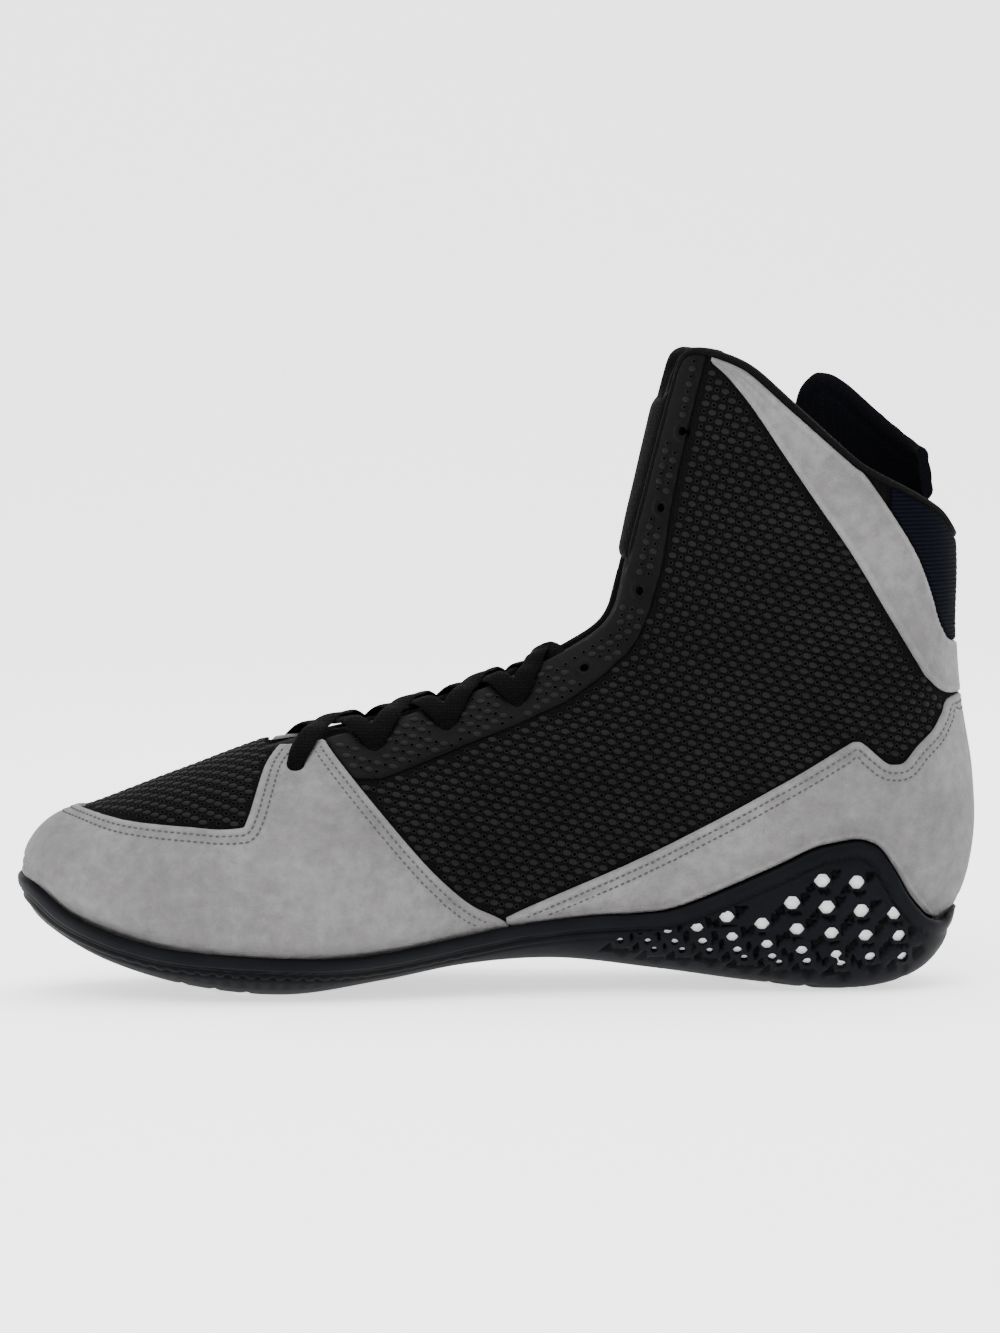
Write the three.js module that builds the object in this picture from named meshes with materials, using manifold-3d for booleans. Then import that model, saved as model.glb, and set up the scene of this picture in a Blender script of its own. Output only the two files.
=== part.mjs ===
// Wrestling shoe, right foot, empty and standing on its sole. Millimetres, +Z up.
// The toe points to -X, the medial side faces -Y and the origin is under the middle of the sole.
import * as THREE from 'three';
import Module from 'manifold-3d';

const wasm = await Module();
wasm.setup();

// Main sizes
const LENGTH = 283.5;        // of the upper alone, inside the overlays
const BALL_WIDTH = 92;       // of the upper at the ball
const INSTEP = 100;          // height of the ridge where foot turns into shaft
const HEEL_HEIGHT = 100;     // height that the back of the heel and shaft is measured by
const STACK = 10;            // height that the sole under the upper is measured by

// Thicknesses and gaps
const GAP = 0.3;             // between two pieces that are sewn or glued
const WALL = 2;              // upper
const OVERLAY = 1.1;         // suede and reinforcement
const RUBBER = 1.3;          // outsole side
const TREAD = 2.2;           // extra rubber under the foam, or half of the stack where that is less
const FOAM_WALL = 0.9;       // side of the foam behind the lattice
const INSOLE_TOP = 4.2;      // top of the insole above the bottom of the form
const PROUD = GAP + FOAM_WALL + GAP + RUBBER;

// Sections turn from upright at the toe to nearly level at the collar. ridgeX, rearX and treadX
// are shares of LENGTH, ridgeZ of INSTEP, rearZ of HEEL_HEIGHT, widths and centres of BALL_WIDTH
// and stack, the sole's depth under rearZ, of STACK. widest is how far up the section its widest
// place lies; top, under and grip are the fullness above it, below it and of the sole.
const SECTIONS = [
  { ridgeX: -0.5, ridgeZ: 0.36, rearX: -0.5, rearZ: 0.36, treadX: -0.5, stack: 0,
    mid: -0.109, midLow: -0.109, medial: 0, lateral: 0, widest: 0.5, top: 2, under: 2.2, grip: 2.2 },
  { ridgeX: -0.4937, ridgeZ: 0.445, rearX: -0.4937, rearZ: 0.315, treadX: -0.4937, stack: 0.19,
    mid: -0.109, midLow: -0.109, medial: 0.141, lateral: 0.152, widest: 0.45, top: 2, under: 2.2, grip: 2.3 },
  { ridgeX: -0.467, ridgeZ: 0.522, rearX: -0.467, rearZ: 0.25, treadX: -0.467, stack: 0.34,
    mid: -0.109, midLow: -0.103, medial: 0.245, lateral: 0.261, widest: 0.38, top: 2.1, under: 2.4, grip: 2.6 },
  { ridgeX: -0.41, ridgeZ: 0.584, rearX: -0.41, rearZ: 0.168, treadX: -0.41, stack: 0.43,
    mid: -0.109, midLow: -0.087, medial: 0.352, lateral: 0.363, widest: 0.32, top: 2.1, under: 2.6, grip: 3 },
  { ridgeX: -0.327, ridgeZ: 0.672, rearX: -0.327, rearZ: 0.094, treadX: -0.327, stack: 0.42,
    mid: -0.098, midLow: -0.054, medial: 0.44, lateral: 0.456, widest: 0.26, top: 2, under: 2.7, grip: 2.9 },
  { ridgeX: -0.23, ridgeZ: 0.766, rearX: -0.23, rearZ: 0.062, treadX: -0.23, stack: 0.4,
    mid: -0.065, midLow: -0.022, medial: 0.485, lateral: 0.507, widest: 0.23, top: 1.8, under: 2.8, grip: 2.9 },
  { ridgeX: -0.133, ridgeZ: 0.824, rearX: -0.133, rearZ: 0.09, treadX: -0.133, stack: 0.32,
    mid: -0.033, midLow: 0.005, medial: 0.48, lateral: 0.501, widest: 0.22, top: 1.65, under: 2.8, grip: 2.9 },
  { ridgeX: -0.042, ridgeZ: 0.894, rearX: -0.042, rearZ: 0.128, treadX: -0.042, stack: 0.24,
    mid: -0.011, midLow: 0.027, medial: 0.438, lateral: 0.465, widest: 0.22, top: 1.6, under: 2.9, grip: 3.2 },
  { ridgeX: 0.031, ridgeZ: 0.976, rearX: 0.056, rearZ: 0.148, treadX: 0.056, stack: 0.32,
    mid: 0, midLow: 0.033, medial: 0.397, lateral: 0.428, widest: 0.24, top: 1.6, under: 2.9, grip: 3.2 },
  { ridgeX: 0.075, ridgeZ: 1.042, rearX: 0.161, rearZ: 0.138, treadX: 0.161, stack: 0.56,
    mid: 0, midLow: 0.027, medial: 0.38, lateral: 0.407, widest: 0.28, top: 1.7, under: 2.9, grip: 3.4 },
  { ridgeX: 0.1014, ridgeZ: 1.094, rearX: 0.266, rearZ: 0.096, treadX: 0.266, stack: 0.54,
    mid: 0, midLow: 0.016, medial: 0.38, lateral: 0.397, widest: 0.32, top: 1.8, under: 3, grip: 3.8 },
  { ridgeX: 0.1137, ridgeZ: 1.146, rearX: 0.363, rearZ: 0.074, treadX: 0.363, stack: 0.57,
    mid: 0, midLow: 0.008, medial: 0.386, lateral: 0.397, widest: 0.36, top: 1.9, under: 2.8, grip: 3.9 },
  { ridgeX: 0.119, ridgeZ: 1.201, rearX: 0.44, rearZ: 0.115, treadX: 0.44, stack: 0.43,
    mid: 0, midLow: 0.003, medial: 0.386, lateral: 0.397, widest: 0.4, top: 2, under: 2.5, grip: 3.4 },
  { ridgeX: 0.1232, ridgeZ: 1.261, rearX: 0.483, rearZ: 0.26, treadX: 0.482, stack: 0.16,
    mid: 0, midLow: 0, medial: 0.386, lateral: 0.391, widest: 0.42, top: 2, under: 2.3, grip: 2.6 },
  { ridgeX: 0.1288, ridgeZ: 1.331, rearX: 0.5, rearZ: 0.44, treadX: 0.5, stack: 0,
    mid: 0, midLow: 0, medial: 0.38, lateral: 0.386, widest: 0.44, top: 2, under: 2.2, grip: 2.2 },
  { ridgeX: 0.1351, ridgeZ: 1.416, rearX: 0.4988, rearZ: 0.64, treadX: 0.4988, stack: 0,
    mid: 0, midLow: 0, medial: 0.38, lateral: 0.386, widest: 0.46, top: 2, under: 2.1, grip: 2.1 },
  { ridgeX: 0.1435, ridgeZ: 1.516, rearX: 0.487, rearZ: 0.85, treadX: 0.487, stack: 0,
    mid: 0, midLow: 0, medial: 0.386, lateral: 0.391, widest: 0.46, top: 2, under: 2.1, grip: 2.1 },
  { ridgeX: 0.1533, ridgeZ: 1.636, rearX: 0.481, rearZ: 1.06, treadX: 0.481, stack: 0,
    mid: 0, midLow: 0, medial: 0.391, lateral: 0.397, widest: 0.46, top: 2, under: 2.1, grip: 2.1 },
  { ridgeX: 0.1652, ridgeZ: 1.776, rearX: 0.482, rearZ: 1.27, treadX: 0.482, stack: 0,
    mid: 0, midLow: 0, medial: 0.397, lateral: 0.402, widest: 0.46, top: 2, under: 2.1, grip: 2.1 },
  { ridgeX: 0.1803, ridgeZ: 1.936, rearX: 0.477, rearZ: 1.47, treadX: 0.477, stack: 0,
    mid: 0, midLow: 0, medial: 0.397, lateral: 0.402, widest: 0.46, top: 2, under: 2.1, grip: 2.1 },
  { ridgeX: 0.1996, ridgeZ: 2.116, rearX: 0.466, rearZ: 1.68, treadX: 0.466, stack: 0,
    mid: 0, midLow: 0, medial: 0.391, lateral: 0.397, widest: 0.46, top: 2, under: 2.1, grip: 2.1 },
];
const LAST = SECTIONS.length - 1;
const UNIT = {
  ridgeX: LENGTH, ridgeZ: INSTEP, rearX: LENGTH, rearZ: HEEL_HEIGHT, treadX: LENGTH, stack: STACK,
  mid: BALL_WIDTH, midLow: BALL_WIDTH, medial: BALL_WIDTH, lateral: BALL_WIDTH,
  widest: 1, top: 1, under: 1, grip: 1,
};

// Rings along the shoe and stations round each ring
const RINGS = [0.25, 0.8, 1.4, 2.1, 3, 4, 5, 6, 7, 8, 9, 10, 11, 12, 12.7, 13.4, 14.2, 15, 16.2, 18, 20];
const AROUND = 20;
const SOLE_UNTIL = 15;       // the sole needs no ring above this section

// Side outlines: along is a share of LENGTH, up of INSTEP
const FEATHER = [
  [-0.5400, 0.380], [-0.4970, 0.350], [-0.4600, 0.262], [-0.4280, 0.218], [-0.3950, 0.186],
  [-0.3470, 0.156], [-0.2490, 0.135], [-0.1820, 0.129], [-0.1330, 0.139], [-0.0500, 0.182],
  [0.0050, 0.213], [0.0860, 0.238], [0.1370, 0.244], [0.1810, 0.266], [0.2700, 0.372],
  [0.3150, 0.432], [0.3380, 0.449], [0.3610, 0.459], [0.3750, 0.452], [0.3890, 0.428],
  [0.4080, 0.352], [0.4190, 0.299], [0.4330, 0.250], [0.4460, 0.219], [0.4640, 0.205],
  [0.4810, 0.225], [0.5400, 0.250],
];
const RIM = [
  [-0.5400, 1.700], [0.1200, 1.700], [0.1650, 1.780], [0.1760, 1.840], [0.1860, 1.895],
  [0.1990, 1.915], [0.2150, 1.908], [0.2410, 1.880], [0.2600, 1.845], [0.2935, 1.756],
  [0.3510, 1.610], [0.3740, 1.561], [0.4340, 1.476], [0.4600, 1.430], [0.4810, 1.365],
  [0.5400, 1.200],
];
const WINDOW = [
  [-0.4700, 0.560], [-0.4380, 0.548], [-0.3950, 0.525], [-0.3300, 0.512],
  [-0.2850, 0.509], [-0.2740, 0.530], [-0.2540, 0.675], [-0.2330, 0.755], [-0.2290, 0.850],
];
const WRAP_REAR = [
  [-0.1900, 0.850], [-0.1930, 0.770], [-0.1650, 0.652], [-0.1010, 0.435], [-0.0680, 0.338],
  [-0.0410, 0.277], [-0.0110, 0.235], [0.0100, 0.190],
];
const COUNTER_TOP = [
  [-0.0160, 0.180], [-0.0060, 0.222], [0.0050, 0.251], [0.1240, 0.392], [0.2040, 0.502],
  [0.2840, 0.625], [0.3520, 0.738], [0.3630, 0.749], [0.3710, 0.740], [0.3930, 0.687],
  [0.4040, 0.679], [0.4150, 0.686], [0.4290, 0.730], [0.4480, 0.778], [0.4590, 0.824],
  [0.4730, 0.872], [0.5400, 0.880],
];
const BAND_LOW = [
  [0.2130, 1.960], [0.2130, 1.885], [0.2320, 1.821], [0.2550, 1.733], [0.2830, 1.609], [0.3180, 1.460],
  [0.3560, 1.306], [0.3940, 1.135], [0.4300, 0.978], [0.4430, 0.929], [0.4710, 0.882], [0.5400, 0.889],
];
const BAND_HIGH = [
  [0.5400, 1.030], [0.4760, 1.034], [0.4560, 1.087], [0.4430, 1.194], [0.4260, 1.303],
  [0.4000, 1.417], [0.3740, 1.520], [0.3520, 1.600], [0.3400, 1.700],
];

// Half the gap of the throat and half the reach of the pieces round it, as shares of BALL_WIDTH
const THROAT = [
  { at: 4.75, gap: 0.043, stay: 0.130, tongue: 0.239 },
  { at: 4.9, gap: 0.141, stay: 0.239, tongue: 0.283 },
  { at: 5.2, gap: 0.174, stay: 0.304, tongue: 0.304 },
  { at: 6, gap: 0.141, stay: 0.315, tongue: 0.304 },
  { at: 7, gap: 0.109, stay: 0.261, tongue: 0.293 },
  { at: 8, gap: 0.092, stay: 0.228, tongue: 0.283 },
  { at: 10, gap: 0.092, stay: 0.196, tongue: 0.261 },
  { at: 13, gap: 0.103, stay: 0.207, tongue: 0.250 },
  { at: 16, gap: 0.130, stay: 0.217, tongue: 0.250 },
  { at: 18, gap: 0.147, stay: 0.228, tongue: 0.250 },
  { at: 20, gap: 0.163, stay: 0.239, tongue: 0.250 },
];
const MERGE = 0.1;           // two stations nearer than this are one
const CUT_OUT = 6;           // how far the throat cutter stands out of the ridge
const CUT_IN = 26;           // and how far it goes in
const TONGUE = 3;            // thickness
const TONGUE_FROM = 4.3;     // section where the tongue starts
const POCKET = { thick: 2.4, from: 13.4, to: 18.9, inset: 1.2, below: 1 };  // on the tongue
const FLAP = 4;              // padded flap inside the lateral collar
const FLAP_OUTLINE = [
  [0.3100, 1.5200], [0.3260, 1.7000], [0.3335, 1.7800], [0.3450, 1.8200], [0.3570, 1.8350],
  [0.3810, 1.8140], [0.4175, 1.7255], [0.4540, 1.6280], [0.4642, 1.5825], [0.4690, 1.5180],
  [0.4655, 1.4600], [0.4500, 1.3300],
];

// Lace: it crosses from one pair of eyelets to the next; across is a share of BALL_WIDTH
const EYELETS = [
  { at: 5.08, across: 0.315 },
  { at: 5.94, across: 0.272 },
  { at: 6.76, across: 0.228 },
  { at: 7.69, across: 0.196 },
  { at: 8.55, across: 0.076 },
];
const LACE = { wide: 7, thick: 1.8, stations: 6, corners: 6, rise: 1.2, clear: 0.6 };

// Lattice of the sole's side: rows fall slightly towards the heel. up is a share of INSTEP, the
// places along the sole are shares of LENGTH and the holes' own sizes are mm.
const LATTICE_ROWS = [
  { up: 0.325, slope: 0.00 },
  { up: 0.250, slope: -0.11 },
  { up: 0.172, slope: -0.10 },
  { up: 0.106, slope: -0.08 },
];
const LATTICE = { first: 0.0288, last: 0.424, middle: 0.340, columns: 12 };
const HOLE = { wide: 4.8, high: 3.8, below: 7.2, above: 4.4 };

// Grooves of the bottom: along is a share of LENGTH, middle and reach of BALL_WIDTH, up of STACK
const GROOVES = [
  { along: -0.352, middle: -0.055, reach: 0.28, up: 0.50 },
  { along: -0.318, middle: -0.045, reach: 0.32, up: 0.34 },
  { along: -0.284, middle: -0.035, reach: 0.34, up: 0.22 },
  { along: -0.178, middle: -0.005, reach: 0.34, up: 0.22 },
  { along: -0.144, middle: 0.005, reach: 0.33, up: 0.37 },
  { along: 0.270, middle: 0.010, reach: 0.26, up: 0.30 },
  { along: 0.304, middle: 0.010, reach: 0.25, up: 0.22 },
  { along: 0.410, middle: 0.005, reach: 0.22, up: 0.31 },
];
const GROOVE = { wide: 2.6, bend: 5 };

// Colours
const PAINT = {
  suede: { color: 0xa9a7a8, roughness: 0.95 },
  mesh: { color: 0x1d1e20, roughness: 0.85 },
  rubber: { color: 0x15171a, roughness: 0.6 },
  foam: { color: 0xdedfe0, roughness: 0.8 },
  lining: { color: 0x101114, roughness: 0.95 },
  knit: { color: 0x12151e, roughness: 0.9 },
  lace: { color: 0x0b0b0d, roughness: 0.9 },
};

const mix = (a, b, t) => a + (b - a) * t;
const smooth = (a, b, c, d, t) => 0.5 * (2 * b + (c - a) * t + (2 * a - 5 * b + 4 * c - d) * t * t
  + (3 * b - a - 3 * c + d) * t * t * t);

// All the columns of a section at a fractional section number, in mm
function section(at) {
  const s = Math.min(Math.max(at, 0), LAST);
  const i = Math.min(Math.floor(s), LAST - 1);
  const t = s - i;
  const row = {};
  for (const key of Object.keys(UNIT)) {
    const value = (k) => SECTIONS[k][key];
    const b = value(i);
    const c = value(i + 1);
    const d = i + 2 <= LAST ? value(i + 2) : 2 * c - b;
    let a = i > 0 ? value(i - 1) : value(1);
    if (i === 0 && (key === 'medial' || key === 'lateral')) a = -value(1);
    if (i === 0 && key === 'ridgeZ') a = value(0) * 2 - value(1);
    if (i === 0 && key === 'rearZ') a = value(0) * 2 - value(1);
    row[key] = UNIT[key] * smooth(a, b, c, d, t);
  }
  row.treadZ = row.rearZ - row.stack;
  return row;
}

// Point of the form: turn is 0 on the ridge, +PI at the bottom by the medial side, -PI by the lateral
function formPoint(at, turn, sole) {
  const row = section(at);
  const c = Math.cos(turn);
  const q = Math.abs(c);
  const medialSide = Math.sin(turn) > 0 || turn === 0;
  const rearX = sole ? row.treadX : row.rearX;
  const rearZ = sole ? row.treadZ : row.rearZ;
  const wideX = mix(row.rearX, row.ridgeX, row.widest);
  const wideZ = mix(row.rearZ, row.ridgeZ, row.widest);
  const wideMid = mix(row.midLow, row.mid, row.widest);
  const upper = c >= 0;
  const power = upper ? row.top : (sole ? row.grip : row.under);
  const full = Math.max(1 - Math.pow(q, power), 0);
  const out = upper ? Math.sqrt(full) : Math.pow(full, 1 / power);
  const width = medialSide ? -row.medial : row.lateral;
  return new THREE.Vector3(
    mix(wideX, upper ? row.ridgeX : rearX, q),
    mix(wideMid, upper ? row.mid : row.midLow, q) + width * out,
    mix(wideZ, upper ? row.ridgeZ : rearZ, q),
  );
}

// The same point moved out along the surface's normal
function skin(at, turn, away, sole = false) {
  const step = 0.02;
  const s = Math.max(at, step * 2);
  const along = formPoint(s + step, turn, sole).sub(formPoint(s - step, turn, sole));
  const round = formPoint(s, turn + step, sole).sub(formPoint(s, turn - step, sole));
  const normal = along.cross(round).normalize().negate();
  return formPoint(at, turn, sole).addScaledVector(normal, away);
}

function turns(count) {
  return Array.from({ length: count }, (_, k) => -Math.PI + (2 * Math.PI * k) / count);
}

function toManifold(points, triangles) {
  const vertProperties = new Float32Array(points.length * 3);
  points.forEach((p, k) => vertProperties.set([p.x, p.y, p.z], k * 3));
  const made = new wasm.Manifold(new wasm.Mesh({
    numProp: 3, vertProperties, triVerts: new Uint32Array(triangles.flat()),
  }));
  if (made.volume() > 0) return made;
  return new wasm.Manifold(new wasm.Mesh({
    numProp: 3, vertProperties, triVerts: new Uint32Array(triangles.map(([a, b, c]) => [a, c, b]).flat()),
  }));
}

// Closed solid through rings of points, each end closed on its middle
function ringSolid(rings, firstPole, lastPole) {
  const n = rings[0].length;
  const points = [firstPole, ...rings.flat(), lastPole];
  const last = points.length - 1;
  const at = (r, k) => 1 + r * n + (k % n);
  const triangles = [];
  for (let k = 0; k < n; k += 1) {
    triangles.push([0, at(0, k + 1), at(0, k)]);
    triangles.push([last, at(rings.length - 1, k), at(rings.length - 1, k + 1)]);
  }
  for (let r = 0; r < rings.length - 1; r += 1) {
    for (let k = 0; k < n; k += 1) {
      triangles.push([at(r, k), at(r, k + 1), at(r + 1, k + 1)]);
      triangles.push([at(r, k), at(r + 1, k + 1), at(r + 1, k)]);
    }
  }
  return toManifold(points, triangles);
}

function middle(ring) {
  return ring.reduce((sum, p) => sum.add(p), new THREE.Vector3()).divideScalar(ring.length);
}

// The whole form, away from its surface by so many mm; lift raises the bottom of the sole
function loft(away, { sole = false, lift = 0, until = LAST } = {}) {
  const rings = RINGS.filter((s) => s <= until).map((s) => turns(AROUND).map((turn) => {
    const p = skin(s, turn, away, sole);
    const row = section(s);
    const room = Math.max(row.rearZ - row.treadZ, 0) / 2;
    p.z += Math.min(lift, room) * Math.max(-Math.cos(turn), 0);
    return p;
  }));
  const toe = skin(0, 0, 0, sole);
  toe.x -= away;
  return ringSolid(rings, toe, middle(rings[rings.length - 1]));
}

// Solid under or over a side outline, right across the shoe
function prism(outline) {
  const shape = new THREE.Shape(outline.map(([x, z]) => new THREE.Vector2(x, z)));
  const depth = BALL_WIDTH * 2;
  const geometry = new THREE.ExtrudeGeometry(shape, { depth, bevelEnabled: false, curveSegments: 1 });
  geometry.rotateX(Math.PI / 2);
  geometry.translate(0, depth / 2, 0);
  return fromGeometry(geometry);
}

function fromGeometry(geometry) {
  const flat = geometry.index ? geometry.toNonIndexed() : geometry;
  const position = flat.attributes.position;
  const points = [];
  const triangles = [];
  const seen = new Map();
  for (let k = 0; k < position.count; k += 3) {
    const triangle = [0, 1, 2].map((j) => {
      const p = new THREE.Vector3().fromBufferAttribute(position, k + j);
      const key = [p.x, p.y, p.z].map((v) => Math.round(v * 1000)).join();
      if (!seen.has(key)) {
        seen.set(key, points.length);
        points.push(p);
      }
      return seen.get(key);
    });
    if (new Set(triangle).size === 3) triangles.push(triangle);
  }
  return toManifold(points, triangles);
}

const inMm = (outline, dx = 0, dz = 0) => outline
  .map(([along, up]) => [along * LENGTH + dx, up * INSTEP + dz]);
const BEYOND = 0.54;         // share of LENGTH that lies clear of both ends
const CEILING = INSTEP * 3;
const CELLAR = -INSTEP;
const above = (outline, dz) => {
  const line = inMm(outline, 0, dz);
  return prism([...line, [line[line.length - 1][0], CEILING], [line[0][0], CEILING]]);
};
const below = (outline, dz) => {
  const line = inMm(outline, 0, dz);
  return prism([...line, [line[line.length - 1][0], CELLAR], [line[0][0], CELLAR]]);
};

function throatRow(at) {
  const i = Math.max(THROAT.findIndex((row) => row.at >= at), 1);
  const a = THROAT[i - 1];
  const b = THROAT[i];
  const t = Math.min(Math.max((at - a.at) / (b.at - a.at), 0), 1);
  const share = (key) => BALL_WIDTH * mix(a[key], b[key], t);
  return { gap: share('gap'), stay: share('stay'), tongue: share('tongue') };
}

// Box swept along the ridge, as wide as a column of THROAT plus more
function ridgeCutter(key, more, from, to = LAST) {
  const stations = [from, ...RINGS, to].filter((s) => s >= from && s <= to).sort((a, b) => a - b)
    .filter((s, k, all) => k === 0 || s - all[k - 1] > MERGE);
  const rings = stations.map((s) => {
    const row = section(s);
    const axis = new THREE.Vector3(row.ridgeX - row.rearX, 0, row.ridgeZ - row.rearZ).normalize();
    const half = throatRow(s)[key] + more;
    const corner = (side, reach) => new THREE.Vector3(row.ridgeX, row.mid + side * half, row.ridgeZ)
      .addScaledVector(axis, reach);
    return [corner(-1, CUT_OUT), corner(1, CUT_OUT), corner(1, -CUT_IN), corner(-1, -CUT_IN)];
  });
  return ringSolid(rings, middle(rings[0]), middle(rings[rings.length - 1]));
}

// Everything that is built
const form = loft(0);
const rimPart = WALL + GAP;
const upperTop = below(RIM, -rimPart);
const throat = ridgeCutter('gap', 0, THROAT[0].at);

const floorLine = SECTIONS.slice(0, 14)
  .map((row) => [row.rearX, (row.rearZ * HEEL_HEIGHT + INSOLE_TOP) / INSTEP]);
const heelEnd = (SECTIONS[14].rearZ * HEEL_HEIGHT + INSOLE_TOP) / INSTEP;
const lowerLine = [[-BEYOND, floorLine[0][1] + 0.1], ...floorLine.slice(1), [BEYOND, heelEnd]];

function makeUpper() {
  return form.subtract(loft(-WALL)).subtract(below(lowerLine, GAP)).intersect(upperTop).subtract(throat);
}

function makeInsole() {
  return form.intersect(below(lowerLine, 0));
}

function makeOutsole() {
  const skinOut = loft(PROUD, { sole: true, until: SOLE_UNTIL });
  const hollow = loft(PROUD - RUBBER, { sole: true, lift: TREAD, until: SOLE_UNTIL });
  const ground = prism([[-LENGTH, 0], [LENGTH, 0], [LENGTH, CEILING], [-LENGTH, CEILING]]);
  let rubber = skinOut.subtract(hollow).intersect(below(FEATHER, -GAP)).intersect(ground);
  for (const hole of [...latticeHoles(), ...grooves()]) rubber = rubber.subtract(hole);
  return rubber;
}

function makeMidsole() {
  const outside = loft(PROUD - RUBBER - GAP, { sole: true, lift: TREAD, until: SOLE_UNTIL });
  return outside.subtract(loft(GAP, { until: SOLE_UNTIL })).intersect(below(FEATHER, -GAP));
}

// Height of an outline over a place along the shoe, mm
function heightAt(outline, x) {
  const line = inMm(outline);
  const i = Math.max(line.findIndex((p) => p[0] >= x), 1);
  const t = (x - line[i - 1][0]) / (line[i][0] - line[i - 1][0]);
  return mix(line[i - 1][1], line[i][1], t);
}

function latticeHoles() {
  const holes = [];
  const under = SECTIONS.slice(1, 14)
    .map((row) => [row.treadX, (row.rearZ * HEEL_HEIGHT - row.stack * STACK) / INSTEP]);
  for (let column = 0; column < LATTICE.columns; column += 1) {
    const x = LENGTH * mix(LATTICE.first, LATTICE.last, column / (LATTICE.columns - 1));
    for (const { up, slope } of LATTICE_ROWS) {
      const z = up * INSTEP + slope * (x - LATTICE.middle * LENGTH);
      if (z > heightAt(FEATHER, x) - HOLE.below) continue;
      if (z < heightAt(under, x) + HOLE.above) continue;
      const w = HOLE.wide / 2;
      const h = HOLE.high / 2;
      holes.push(prism([[x - w, z], [x - w / 2, z - h], [x + w / 2, z - h], [x + w, z],
        [x + w / 2, z + h], [x - w / 2, z + h]]));
    }
  }
  return holes;
}

// Bent bars that part the lugs of the bottom
function grooves() {
  return GROOVES.map(({ along, middle: y, reach, up }) => {
    const x = along * LENGTH;
    const centre = y * BALL_WIDTH;
    const end = reach * BALL_WIDTH;
    const half = GROOVE.wide / 2;
    const shape = new THREE.Shape([[x - half, 0], [x + GROOVE.bend - half, -end], [x + GROOVE.bend + half, -end],
      [x + half, 0], [x + GROOVE.bend + half, end], [x + GROOVE.bend - half, end]]
      .map(([px, py]) => new THREE.Vector2(px, py + centre)));
    const geometry = new THREE.ExtrudeGeometry(shape, { depth: STACK * (1 + up), bevelEnabled: false });
    geometry.translate(0, 0, -STACK);
    return fromGeometry(geometry);
  });
}

const layer = loft(GAP + OVERLAY).subtract(loft(GAP));
const onUpper = layer.intersect(above(FEATHER, GAP)).intersect(upperTop);

function wrapRegion(dx) {
  const line = inMm(WRAP_REAR, dx);
  return prism([...line, [-LENGTH, CELLAR], [-LENGTH, CEILING], [line[0][0], CEILING]]);
}

function makeToeWrap() {
  const region = wrapRegion(0);
  const window = prism([...inMm(WINDOW), [inMm(WINDOW)[0][0], CEILING]]);
  return onUpper.intersect(region).subtract(window).subtract(ridgeCutter('gap', 0, THROAT[0].at));
}

function makeCounter() {
  return onUpper.intersect(below(COUNTER_TOP, 0))
    .subtract(wrapRegion(GAP));
}

function makeBand() {
  return onUpper.intersect(prism([...inMm(BAND_LOW), ...inMm(BAND_HIGH)]));
}

function makeAchilles() {
  const edge = inMm(BAND_HIGH, GAP, GAP);
  const [front] = edge[edge.length - 1];
  return onUpper.intersect(prism([...edge, [front, CEILING], [LENGTH, CEILING], [LENGTH, edge[0][1]]]));
}

function makeStays() {
  const both = onUpper.intersect(ridgeCutter('stay', 0, THROAT[1].at)).subtract(throat)
    .subtract(wrapRegion(GAP))
    .subtract(prism([...inMm(BAND_LOW, -GAP, -GAP), ...inMm(BAND_HIGH)]));
  return both.decompose().sort((a, b) => a.boundingBox().min[1] - b.boundingBox().min[1]);
}

function makeTongue() {
  const shell = loft(-WALL - GAP).subtract(loft(-WALL - GAP - TONGUE));
  const top = below(RIM, GAP);
  return shell.intersect(ridgeCutter('tongue', 0, TONGUE_FROM)).intersect(top);
}

function makePocket() {
  const shell = loft(POCKET.thick - WALL).subtract(loft(-WALL));
  return shell.intersect(ridgeCutter('gap', -POCKET.inset, POCKET.from, POCKET.to))
    .intersect(below(RIM, -POCKET.below));
}

function makeBinding() {
  const roll = loft(GAP + OVERLAY).subtract(loft(-WALL - OVERLAY));
  return roll.intersect(below(RIM, 0)).subtract(below(RIM, GAP - rimPart))
    .subtract(ridgeCutter('tongue', GAP, TONGUE_FROM));
}

function makeFlap() {
  const inside = -WALL - OVERLAY - GAP;
  const lateral = prism(inMm(FLAP_OUTLINE)).intersect(halfSpace());
  return loft(inside).subtract(loft(inside - FLAP)).intersect(lateral);
}

function halfSpace() {
  const geometry = new THREE.BoxGeometry(LENGTH, BALL_WIDTH, CEILING * 2);
  geometry.translate(LENGTH / 2, BALL_WIDTH / 2, 0);
  return fromGeometry(geometry);
}

// Where the form's top half is so far from the middle
function turnAcross(at, y) {
  const row = section(at);
  const width = y > 0 ? row.lateral : row.medial;
  const out = Math.min(Math.abs(y) / width, 0.98);
  return -Math.sign(y) * Math.acos(Math.pow(1 - out * out, 1 / row.top));
}

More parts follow.
